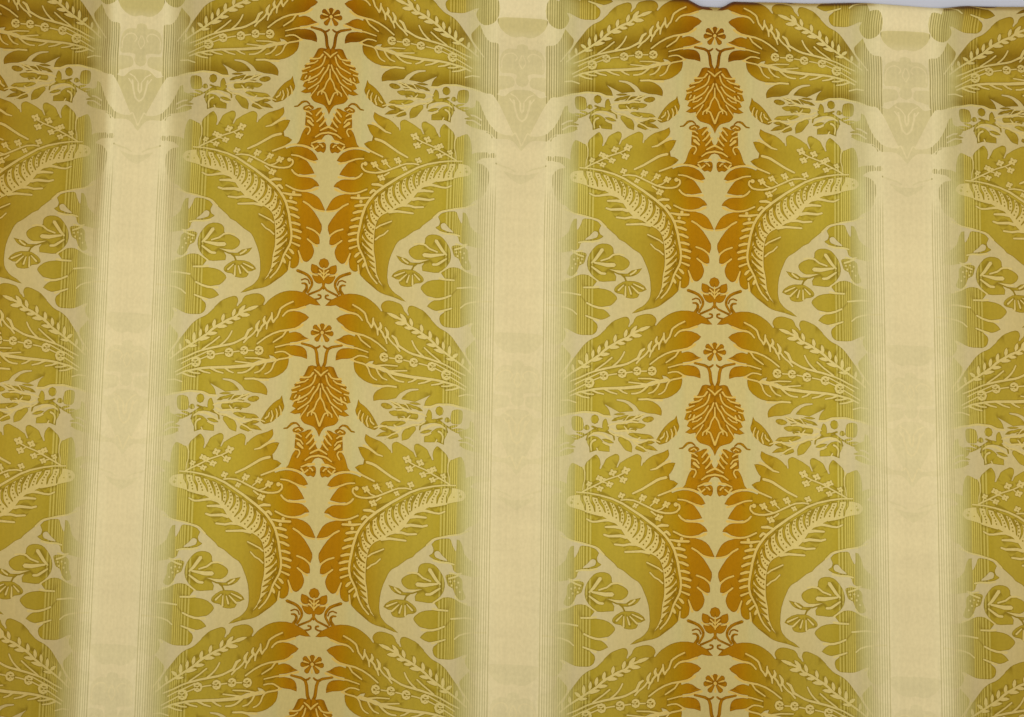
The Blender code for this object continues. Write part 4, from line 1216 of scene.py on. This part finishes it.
# Painted shade: darker towards the cloth's ends, its bottom and its upper left
SHADE_RIGHT_END = (270.0, 325.0, 0.0, 0.5)
SHADE_LEFT_END = (-320.0, -250.0, 0.6, 0.0)
SHADE_LEFTWARDS = (-330.0, -110.0, 1.0, 0.0)
SHADE_HIGH = (115.0, 190.0, 1.0, 0.0)
SHADE_LOW = (340.0, 470.0, 0.0, 0.36)
# Painted highlight: the cream is lighter just below the turned edge
HIGHLIGHT_BELOW_TURN = (-14.0, -7.0, 1.0, 0.0)
# Painted shade where the turned edge faces away
SHADE_FACING_AWAY = (0.15, 0.60)
DRIFT_ALONG = (538.0, 556.0)
DRIFT_ACROSS = (200.0, 260.0)
DRIFT = 2.0

# Down each repeat the satin's red, green and blue swing about these levels
REPEAT_TONE_SHIFT = 30.0
REPEAT_TONES = [(0.975, 0.035), (0.97, 0.045), (0.97, 0.05)]

# What each tone multiplies the dye by: a darker rim, the cream figure's tone on tone with painted shade, and
# painted shade and highlight for the rest
BROWNER_SHADE = (1.0, 0.94, 0.82, 1.0)
CREAM_FIGURE_AND_SHADE = (0.88, 0.87, 0.72, 1.0)
CREAM_SHELL_SHADE = (0.88, 0.86, 0.66, 1.0)
DEEP_RIM = (0.66, 0.62, 0.50, 1.0)
FALLOFF_SHADE = (0.78, 0.72, 0.62, 1.0)
PAINTED_HIGHLIGHT = (1.10, 1.11, 1.16, 1.0)
TURNED_FIGURE_SHADE = (0.42, 0.27, 0.12, 1.0)
TURNED_GROUND_SHADE = (0.70, 0.58, 0.38, 1.0)

# Threads: their pitch in millimetres, their height in metres, and the puckers' height
WEFT_PITCH = 0.55
WARP_PITCH = 0.40
THREAD_HEIGHT = 0.00003
PUCKER_HEIGHT = 0.0011

# Uneven dyeing, and the small puckers' bump and painted shade: how often each changes in a metre of weft and
# of warp, and its detail
STREAKS = (420.0, 9.0, 3.0)
CLOUDS = (26.0, 18.0, 3.0)
FLECKS = (520.0, 380.0, 2.0)
SMALL_PUCKERS = (14.0, 70.0, 2.0)

# The reverse's grid, in metres
REVERSE_MARGIN = 0.008
REVERSE_PITCH = 0.016
REVERSE_TURN_PITCH = 0.006
REVERSE_TURN_DEPTH = 0.125

# The camera: its angles in degrees, and one of the top flowers as the cloth and the camera place it
SENSOR_WIDTH = 36.0
FOCAL_LENGTH = 56.25
CAMERA_TURNS = {"Y": -0.34, "X": 7.36, "Z": 2.73}
FLOWER_ON_CLOTH = (-0.14382, 0.24561, 0.0012)
FLOWER_FROM_CAMERA = (-0.1280, 0.2407, -1.1292)


def wave_shade_stops(places):
    """Grey stops for the satin's painted shade and highlight, from the turned edge down."""
    return [((below - WAVE_SHADE_START) / WAVE_SHADE_LENGTH, (share / WAVE_SHADE_TOP,) * 3 + (1.0,)) for below, share in places]


def shade_stops(shades):
    """Colour stops from the middle of the gold stripe to the middle of the cream one."""
    return [(side / HALF_WIDTH, dye(*colour)) for side, colour in shades]


def warp_stops(warps, start, end):
    """Stops that are dark but for a soft-edged line at each warp."""
    stops = []
    for side, width, strength in warps:
        for offset, level in ((-width * 0.75, 0.0), (-width * 0.2, strength), (width * 0.2, strength),
                              (width * 0.75, 0.0)):
            place = (side + offset - start) / (end - start)
            if stops and place <= stops[-1][0]:
                place = stops[-1][0] + 0.0005
            stops.append((place, (level, level, level, 1.0)))
    return stops


def stripe_side(recipe):
    """Millimetres from the middle of the nearest gold stripe, and the place along the cloth."""
    place = recipe.node("UVMap", {"uv_map": "weave place"})[0]
    split = recipe.node("SeparateXYZ", None, (place,))
    across, along = split[0] / MM, split[1] / MM
    # The warps drift to the right just below the turned edge of the right-hand stripe
    drift = recipe.eased(along, *DRIFT_ALONG)
    right = recipe.eased(across, *DRIFT_ACROSS)
    leaning = across - drift * right * DRIFT
    from_cream = recipe.maths("PINGPONG", recipe.maths("ABSOLUTE", leaning), HALF_WIDTH)
    return HALF_WIDTH - from_cream, across, along, place


def warp_lines(recipe, side, warps):
    """How strongly the fine warp lines show at a place, from 0 to 1."""
    start, end = warps[0][0] - 1.5, warps[-1][0] + 1.5
    share = (side - start) / (end - start)
    return recipe.node("ValToRGB", {"stops": warp_stops(warps, start, end)}, (share,))[0]


def shade_tinted(recipe, share, strength):
    """A colour for the satin's painted shade and highlight: its green falls faster than its red, and its blue
    fastest.
    """
    channels = (share, recipe.maths("POWER", share, 1.3), recipe.maths("POWER", share, 2.2))
    return recipe.node("CombineColor", None, [1.0 + (channel - 1.0) * strength for channel in channels])[0]


def figure_tones_and_shade(recipe, colour, side, across, along):
    """The satin's tones: darker at its rims and swinging down each repeat, with painted shade and highlight of
    the waves below the turned edge, a painted browner shade at the top, and painted shade over the cream
    figure's tone on tone.
    """
    below = TOP_FLOWERS / MM - along
    pale = recipe.eased(side, *FIGURE_MEETS_CREAM)
    plain = 1.0 - pale
    repeats = recipe.maths("COSINE", (below + REPEAT_TONE_SHIFT) * (2 * math.pi / LENGTH)) * plain
    fade = [level - repeats * swing for level, swing in REPEAT_TONES]
    colour = recipe.multiplied(1.0, colour, recipe.node("CombineColor", None, fade)[0])
    # Painted shade and highlight of the waves below the turned edge
    share = (below - WAVE_SHADE_START) / WAVE_SHADE_LENGTH
    near = recipe.node("ValToRGB", {"stops": wave_shade_stops(WAVE_SHADE_NEAR_GOLD)}, (share,))[0] * WAVE_SHADE_TOP
    outside = recipe.node("ValToRGB", {"stops": wave_shade_stops(WAVE_SHADE_OUTSIDE)}, (share,))[0] * WAVE_SHADE_TOP
    wave_shade = near + (outside - near) * recipe.eased(side, *BESIDE_THE_GOLD)
    colour = recipe.multiplied(1.0, colour, shade_tinted(recipe, wave_shade, plain))
    # Painted shade: the satin is browner near the top flowers
    colour = recipe.multiplied(recipe.eased(below, *SHADE_BROWN_AT_THE_TOP) * plain, colour, BROWNER_SHADE)
    # Tone on tone in the cream stripe, with painted shade on its figure: clear in the left one's top row,
    # fainter to the right and below
    rightwards = recipe.eased(across, *CREAM_FROM_THE_LEFT)
    shown = pale * (1.0 - recipe.eased(side, *CREAM_MIDDLE) * (1.0 - rightwards))
    in_top_row = recipe.eased(below, *CREAM_TOP_ROW) * recipe.eased(below, *CREAM_BELOW_BRACKET)
    colour = recipe.multiplied(in_top_row * shown, colour, CREAM_FIGURE_AND_SHADE)
    # Painted shade on the cream figure's top shell
    colour = recipe.multiplied(recipe.eased(below, *CREAM_TOP_SHELL_SHADE) * shown, colour, CREAM_SHELL_SHADE)
    inset = recipe.node("Attribute", {"attribute_type": "GEOMETRY", "attribute_name": "inset"})[2]
    rim = recipe.eased(inset, 0.0, RIM_WIDTH, 1.0, 0.0)
    return recipe.multiplied(rim * recipe.eased(side, *RIM_FADES), colour, DEEP_RIM)


def cloth_material(name, shades, lines, ribs, gloss, figured=False):
    """One weave of the brocade: its shades across the stripes, its fine lines, threads and sheen, and the
    painted shade and highlights in its colour.
    """
    recipe = Recipe(name)
    side, across, along, place = stripe_side(recipe)
    colour = recipe.node("ValToRGB", {"stops": shade_stops(shades)}, (side / HALF_WIDTH,))[0]
    pale, green, dark = lines
    below = TOP_FLOWERS / MM - along
    closed = recipe.eased(below, *WARPS_CLOSE, dark, 0.95)
    colour = recipe.mix(warp_lines(recipe, side, PALE_WARPS) * pale, colour, dye(204, 185, 92))
    colour = recipe.mix(warp_lines(recipe, side, GREEN_WARPS) * green, colour, dye(146, 134, 60))
    colour = recipe.mix(warp_lines(recipe, side, DARK_WARPS) * closed, colour, dye(150, 134, 76))
    if figured:
        colour = figure_tones_and_shade(recipe, colour, side, across, along)
    # Uneven dyeing: long streaks along the warp, soft clouds, and a mottle of a few threads; the small
    # puckers' noise also paints their shade and highlight into the pale stripe's colour
    streaks = recipe.uneven(place, STREAKS)
    clouds = recipe.uneven(place, CLOUDS)
    flecks = recipe.uneven(place, FLECKS)
    puckers = recipe.uneven(place, SMALL_PUCKERS)
    puckered = recipe.eased(side, *PUCKERED)
    tone = 1.0 + (streaks - 0.5) * 0.10 + (clouds - 0.5) * 0.10 + (flecks - 0.5) * 0.16
    tone = tone + (puckers - 0.5) * puckered * 0.10
    tint = recipe.node("CombineColor", None, (tone, tone, tone * 1.04 - 0.04))[0]
    colour = recipe.multiplied(1.0, colour, tint)
    # Painted shade: the cloth is darker towards its ends, its bottom and its upper left. Painted highlight:
    # the cream is lighter just below the turned edge.
    cream = recipe.eased(side, *CREAM_BEGINS)
    left_shade = recipe.eased(across, *SHADE_LEFTWARDS) * recipe.eased(below, *SHADE_HIGH)
    shade_towards_ends = recipe.eased(across, *SHADE_RIGHT_END) + recipe.eased(across, *SHADE_LEFT_END) + left_shade
    shade_towards_ends = shade_towards_ends + recipe.eased(below, *SHADE_LOW)
    colour = recipe.multiplied(shade_towards_ends * (1.0 - cream), colour, FALLOFF_SHADE)
    # Painted highlight on the cream just below the turned edge
    colour = recipe.multiplied(recipe.eased(below, *HIGHLIGHT_BELOW_TURN) * cream, colour, PAINTED_HIGHLIGHT)
    # Painted shade on the outside of the turned edge, darker where it faces away
    facing = recipe.node("SeparateXYZ", None, (recipe.node("NewGeometry")[1],))
    turned = recipe.eased(facing[1], *SHADE_FACING_AWAY)
    colour = recipe.multiplied(turned * (1.0 - cream), colour, TURNED_FIGURE_SHADE if figured else TURNED_GROUND_SHADE)
    # Threads: weft ribs on the ground, long warp floats on the figure, and puckers of the pale stripe
    weft = recipe.maths("SINE", along * (2 * math.pi / WEFT_PITCH))
    warp = recipe.maths("SINE", across * (2 * math.pi / WARP_PITCH))
    threads = weft * ribs + warp * (1.0 - ribs)
    height = threads * THREAD_HEIGHT + puckers * puckered * PUCKER_HEIGHT
    bumped = recipe.node("Bump", None, {"Strength": 1.0, "Distance": 1.0, "Height": height})[0]
    roughness = gloss + (streaks - 0.5) * 0.12
    shader = recipe.node("BsdfPrincipled", None, {
        "Base Color": colour, "Roughness": roughness, "Normal": bumped, "Specular IOR Level": 0.16,
        "Specular Tint": (1.0, 0.80, 0.15, 1.0), "Sheen Weight": 0.03, "Sheen Roughness": 0.4,
        "Sheen Tint": (1.0, 0.85, 0.5, 1.0),
    })[0]
    recipe.node("OutputMaterial", None, {"Surface": shader})
    return recipe.material


def repeat_tree(materials):
    """The tree that mirrors the half repeat, lays out the repeats and gives each weave its material."""
    tree = bpy.data.node_groups.new("woven repeats", "GeometryNodeTree")
    face = tree.interface
    face.new_socket("Geometry", in_out="INPUT", socket_type="NodeSocketGeometry")
    for name, kind in (("Repeat width", "Float"), ("Repeat length", "Float"), ("Repeats across", "Int"),
                       ("Repeats up", "Int"), ("Weld distance", "Float")):
        face.new_socket(name, in_out="INPUT", socket_type="NodeSocket" + kind)
    face.new_socket("Geometry", in_out="OUTPUT", socket_type="NodeSocketGeometry")

    def node(kind, settings=None, values=()):
        made = tree.nodes.new(kind)
        for name, value in (settings or {}).items():
            setattr(made, name, value)
        pairs = values.items() if isinstance(values, dict) else enumerate(values)
        for place, value in pairs:
            if isinstance(value, bpy.types.NodeSocket):
                tree.links.new(value, made.inputs[place])
            else:
                made.inputs[place].default_value = value
        return made

    def maths(operation, *values):
        return node("ShaderNodeMath", {"operation": operation}, values).outputs[0]

    given = node("NodeGroupInput").outputs
    half, width, length, many_across, many_up, weld = (given[i] for i in range(6))
    turned = node("GeometryNodeTransform", None, {"Geometry": half, "Scale": (-1.0, 1.0, 1.0)}).outputs[0]
    faced = node("GeometryNodeFlipFaces", None, (turned,)).outputs[0]
    whole = node("GeometryNodeJoinGeometry")
    tree.links.new(half, whole.inputs[0])
    tree.links.new(faced, whole.inputs[0])
    run_across = maths("MULTIPLY", maths("SUBTRACT", many_across, 1.0), width)
    run_up = maths("MULTIPLY", maths("SUBTRACT", many_up, 1.0), length)
    places = node("GeometryNodeMeshGrid", None, (run_across, run_up, many_across, many_up)).outputs[0]
    lift = node("ShaderNodeCombineXYZ", None, {1: maths("MULTIPLY", run_up, 0.5)}).outputs[0]
    raised = node("GeometryNodeTransform", None, {"Geometry": places, "Translation": lift}).outputs[0]
    laid = node("GeometryNodeInstanceOnPoints", None, {"Points": raised, "Instance": whole.outputs[0]})
    real = node("GeometryNodeRealizeInstances", None, (laid.outputs[0],)).outputs[0]
    joined = node("GeometryNodeMergeByDistance", None, {"Geometry": real, "Distance": weld}).outputs[0]
    weave = node("GeometryNodeInputNamedAttribute", {"data_type": "INT"}, {"Name": "weave"}).outputs[0]
    for number, material in enumerate(materials):
        same = {"data_type": "INT", "operation": "EQUAL"}
        chosen = node("FunctionNodeCompare", same, {2: weave, 3: number})
        joined = node("GeometryNodeSetMaterial", None, {
            "Geometry": joined, "Selection": chosen.outputs[0], "Material": material,
        }).outputs[0]
    node("NodeGroupOutput", None, (joined,))
    return tree


def woven_flat(materials):
    """The whole woven piece laid out flat as one mesh, before it is cut at the top."""
    half = bpy.data.objects.new("half_repeat", half_repeat_mesh())
    bpy.context.scene.collection.objects.link(half)
    for material in materials:
        half.data.materials.append(material)
    tree = repeat_tree(materials)
    repeats = half.modifiers.new("repeats", "NODES")
    repeats.node_group = tree
    sizes = {
        "Repeat width": REPEAT_WIDTH, "Repeat length": REPEAT_LENGTH, "Repeats across": REPEATS_ACROSS,
        "Repeats up": REPEATS_UP, "Weld distance": WELD * MM,
    }
    for item in tree.interface.items_tree:
        if item.in_out == "INPUT" and item.name in sizes:
            repeats[item.identifier] = sizes[item.name]
    graph = bpy.context.evaluated_depsgraph_get()
    flat = bpy.data.meshes.new_from_object(half.evaluated_get(graph))
    bpy.data.objects.remove(half)
    true_places = np.empty(len(flat.vertices) * 3, np.float32)
    flat.vertices.foreach_get("co", true_places)
    flat.attributes.new("woven", "FLOAT_VECTOR", "POINT").data.foreach_set("vector", true_places)
    true_places = true_places.reshape(-1, 3).astype(float)
    lying = np.column_stack((*slipped(true_places[:, 0], true_places[:, 1]), true_places[:, 2]))
    flat.vertices.foreach_set("co", lying.ravel())
    return flat


def cut_at_top(flat):
    """Cuts the flat cloth along the line where the turned edge meets the surface below."""
    mesh = bmesh.new()
    mesh.from_mesh(flat)
    ends = cloth_end(np.array([vertex.co.x for vertex in mesh.verts]))
    for vertex, end in zip(mesh.verts, ends):
        vertex.co.y -= end
    for before_end in TURN_LINES:
        everything = list(mesh.verts) + list(mesh.edges) + list(mesh.faces)
        bmesh.ops.bisect_plane(mesh, geom=everything, plane_co=(0, -before_end * MM, 0), plane_no=(0, 1, 0),
                               clear_outer=before_end == 0.0, dist=WELD * MM)
    ends = cloth_end(np.array([vertex.co.x for vertex in mesh.verts]))
    for vertex, end in zip(mesh.verts, ends):
        vertex.co.y += end
    bmesh.ops.triangulate(mesh, faces=[face for face in mesh.faces if len(face.verts) > 3])
    mesh.to_mesh(flat)
    mesh.free()


def border_loop(triangles):
    """The corners of the cloth's border, in order, with the cloth on its left."""
    steps = {}
    inner = set()
    for triangle in triangles.tolist():
        for start, end in zip(triangle, triangle[1:] + triangle[:1]):
            inner.add((start, end))
    for start, end in inner:
        if (end, start) not in inner:
            steps[start] = end
    first = next(iter(steps))
    loop = [first]
    while steps[loop[-1]] != first:
        loop.append(steps[loop[-1]])
    if len(loop) != len(steps):
        raise ValueError(f"the border has {len(steps)} corners, and one loop takes {len(loop)}")
    return loop


def back_triangles(edge_places):
    """The reverse of the cloth: its border and an even grid inside it, as triangles."""
    inner = []
    for across in np.arange(-WIDTH / 2 + REVERSE_MARGIN, WIDTH / 2 - REVERSE_MARGIN / 2, REVERSE_PITCH):
        end = cloth_end(np.array([across]))[0]
        lower = np.arange(REVERSE_MARGIN, end - REVERSE_TURN_DEPTH, REVERSE_PITCH)
        upper = np.arange(end - REVERSE_TURN_DEPTH, end - REVERSE_TURN_PITCH / 2, REVERSE_TURN_PITCH)
        inner.extend((across, along) for along in np.concatenate((lower, upper)))
    places = [tuple(place) for place in edge_places] + inner
    count = len(edge_places)
    edges = [(i, (i + 1) % count) for i in range(count)]
    vectors = [Vector(np.array(place) * 1000) for place in places]
    made = delaunay_2d_cdt(vectors, edges, [], 0, 1e-5)
    points = np.array([tuple(vector) for vector in made[0]]) / 1000
    triangles = np.array(made[2])
    middles = points[triangles].mean(axis=1)
    kept = inside(np.asarray(edge_places), middles)
    origins = [source[0] if source else -1 for source in made[3]]
    return points, triangles[kept], origins


def make_cloth(materials, reverse):
    """The brocade as one closed sheet on its folds."""
    flat = woven_flat(materials)
    cut_at_top(flat)
    count = len(flat.vertices)
    places = np.empty(count * 3)
    flat.vertices.foreach_get("co", places)
    places = places.reshape(-1, 3)[:, :2]
    triangles = np.empty(len(flat.polygons) * 3, np.int32)
    flat.polygons.foreach_get("vertices", triangles)
    triangles = triangles.reshape(-1, 3)
    weaves = np.empty(len(flat.polygons), np.int32)
    flat.attributes["weave"].data.foreach_get("value", weaves)
    insets = np.empty(count, np.float32)
    flat.attributes["inset"].data.foreach_get("value", insets)
    woven = np.empty(count * 3, np.float32)
    flat.attributes["woven"].data.foreach_get("vector", woven)
    loop = border_loop(triangles)
    back_places, back, origins = back_triangles(places[loop])
    back_of = {origin: i for i, origin in enumerate(origins) if 0 <= origin < len(loop)}
    rim = []
    for i in range(len(loop)):
        j = (i + 1) % len(loop)
        rim.append((loop[j], loop[i], count + back_of[i], count + back_of[j]))
    front_points = cloth_points(places[:, 0], places[:, 1], CLOTH_THICKNESS)
    back_points = cloth_points(back_places[:, 0], back_places[:, 1], 0.0)
    mesh = bpy.data.meshes.new("brocade")
    faces = triangles.tolist() + (back[:, ::-1] + count).tolist() + rim
    mesh.from_pydata(np.vstack((front_points, back_points)).tolist(), [], faces)
    for material in list(materials) + [reverse]:
        mesh.materials.append(material)
    kinds = np.concatenate((weaves, np.full(len(back) + len(rim), len(materials))))
    mesh.polygons.foreach_set("material_index", kinds.astype(np.int32))
    uv = mesh.uv_layers.new(name="weave place")
    corners = np.empty(len(mesh.loops), np.int32)
    mesh.loops.foreach_get("vertex_index", corners)
    all_places = np.vstack((woven.reshape(-1, 3)[:, :2], back_places))
    uv.data.foreach_set("uv", all_places[corners].ravel())
    inset = mesh.attributes.new("inset", "FLOAT", "POINT")
    inset.data.foreach_set("value", np.concatenate((insets, np.zeros(len(back_places), np.float32))))
    mesh.shade_smooth()
    smooth = np.ones(len(mesh.polygons), bool)
    smooth[-len(rim):] = False
    mesh.polygons.foreach_set("use_smooth", smooth)
    facing = np.zeros((len(mesh.loops), 3))
    front_normals = cloth_normals(places[:, 0], places[:, 1], CLOTH_THICKNESS)
    back_normals = -cloth_normals(back_places[:, 0], back_places[:, 1], 0.0)
    front_loops = len(triangles) * 3
    back_loops = front_loops + len(back) * 3
    facing[:front_loops] = front_normals[corners[:front_loops]]
    facing[front_loops:back_loops] = back_normals[corners[front_loops:back_loops] - count]
    mesh.normals_split_custom_set(facing.tolist())
    cloth = bpy.data.objects.new("brocade_cloth", mesh)
    bpy.context.scene.collection.objects.link(cloth)
    print("cloth:", len(triangles), "front,", len(back), "back,", len(rim), "rim")
    return cloth


def make_floor():
    """The plain pale surface that the cloth lies on."""
    recipe = Recipe("pale floor")
    place = recipe.node("TexCoord")[3]
    grain = recipe.node("TexNoise", None, {0: place, 2: 40.0, 3: 4.0})[0]
    bumped = recipe.node("Bump", None, {"Strength": 0.1, "Distance": 0.0005, "Height": grain})[0]
    shader = recipe.node("BsdfPrincipled", None, {
        "Base Color": dye(192, 193, 204), "Roughness": 0.75, "Normal": bumped,
    })[0]
    recipe.node("OutputMaterial", None, {"Surface": shader})
    half = 4.0
    below = -0.0002
    mesh = bpy.data.meshes.new("floor")
    corners = [(-half, -half, below), (half, -half, below), (half, half, below), (-half, half, below)]
    mesh.from_pydata(corners, [], [(0, 1, 2, 3)])
    mesh.materials.append(recipe.material)
    floor = bpy.data.objects.new("floor", mesh)
    bpy.context.scene.collection.objects.link(floor)
    return floor


def make_camera():
    """The photograph's own view, from just below the cloth's middle and above it."""
    camera = bpy.data.cameras.new("camera")
    camera.sensor_width = SENSOR_WIDTH
    camera.lens = FOCAL_LENGTH
    turn = Matrix.Identity(3)
    for axis, angle in CAMERA_TURNS.items():
        turn = turn @ Matrix.Rotation(math.radians(angle), 3, axis)
    place = Vector(FLOWER_ON_CLOTH) - turn @ Vector(FLOWER_FROM_CAMERA)
    holder = bpy.data.objects.new("camera", camera)
    holder.matrix_world = Matrix.Translation(place) @ turn.to_4x4()
    bpy.context.scene.collection.objects.link(holder)
    bpy.context.scene.camera = holder


def make_lamp(name, place, width, depth, power, colour):
    """A long soft lamp that hangs level over the cloth, out of the camera's sight."""
    light = bpy.data.lights.new(name, "AREA")
    light.shape = "RECTANGLE"
    light.size = width
    light.size_y = depth
    light.energy = power
    light.color = colour
    holder = bpy.data.objects.new(name, light)
    holder.location = place
    holder.visible_camera = False
    bpy.context.scene.collection.objects.link(holder)


def make_studio():
    """Plain soft light: a lamp over the cloth's middle, and an even pale surround."""
    make_lamp("key", (0.0, 0.03, 0.52), 2.4, 0.30, 4.22, (1.0, 0.995, 0.95))
    world = bpy.data.worlds.new("studio")
    world.use_nodes = True
    sky = world.node_tree.nodes["Background"]
    sky.inputs["Color"].default_value = (1.0, 0.985, 0.94, 1.0)
    sky.inputs["Strength"].default_value = 0.58
    bpy.context.scene.world = world
    bpy.context.scene.view_settings.view_transform = "Standard"


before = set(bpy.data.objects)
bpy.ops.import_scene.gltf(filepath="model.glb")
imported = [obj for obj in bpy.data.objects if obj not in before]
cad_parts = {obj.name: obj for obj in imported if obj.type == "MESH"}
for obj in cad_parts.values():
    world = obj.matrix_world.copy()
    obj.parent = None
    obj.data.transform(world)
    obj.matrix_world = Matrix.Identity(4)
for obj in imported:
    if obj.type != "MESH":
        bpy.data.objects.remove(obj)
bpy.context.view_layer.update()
ground_weave = cloth_material("ribbed ground", GROUND_SHADES, (0.0, 0.15, 0.1), 0.8, 0.62)
figure_weave = cloth_material("satin figure", FIGURE_SHADES, (1.0, 1.0, 1.6), 0.15, 0.46, figured=True)
light_weave = cloth_material("light lines", LIGHT_SHADES, (0.3, 0.6, 0.6), 0.5, 0.55)
reverse_weave = cloth_material("reverse", GROUND_SHADES, (0.5, 0.6, 0.7), 0.5, 0.66)
cloth = make_cloth((ground_weave, figure_weave, light_weave), reverse_weave)
floor = make_floor()
make_camera()
make_studio()
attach(cloth, "root")
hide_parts("brocade_panel")
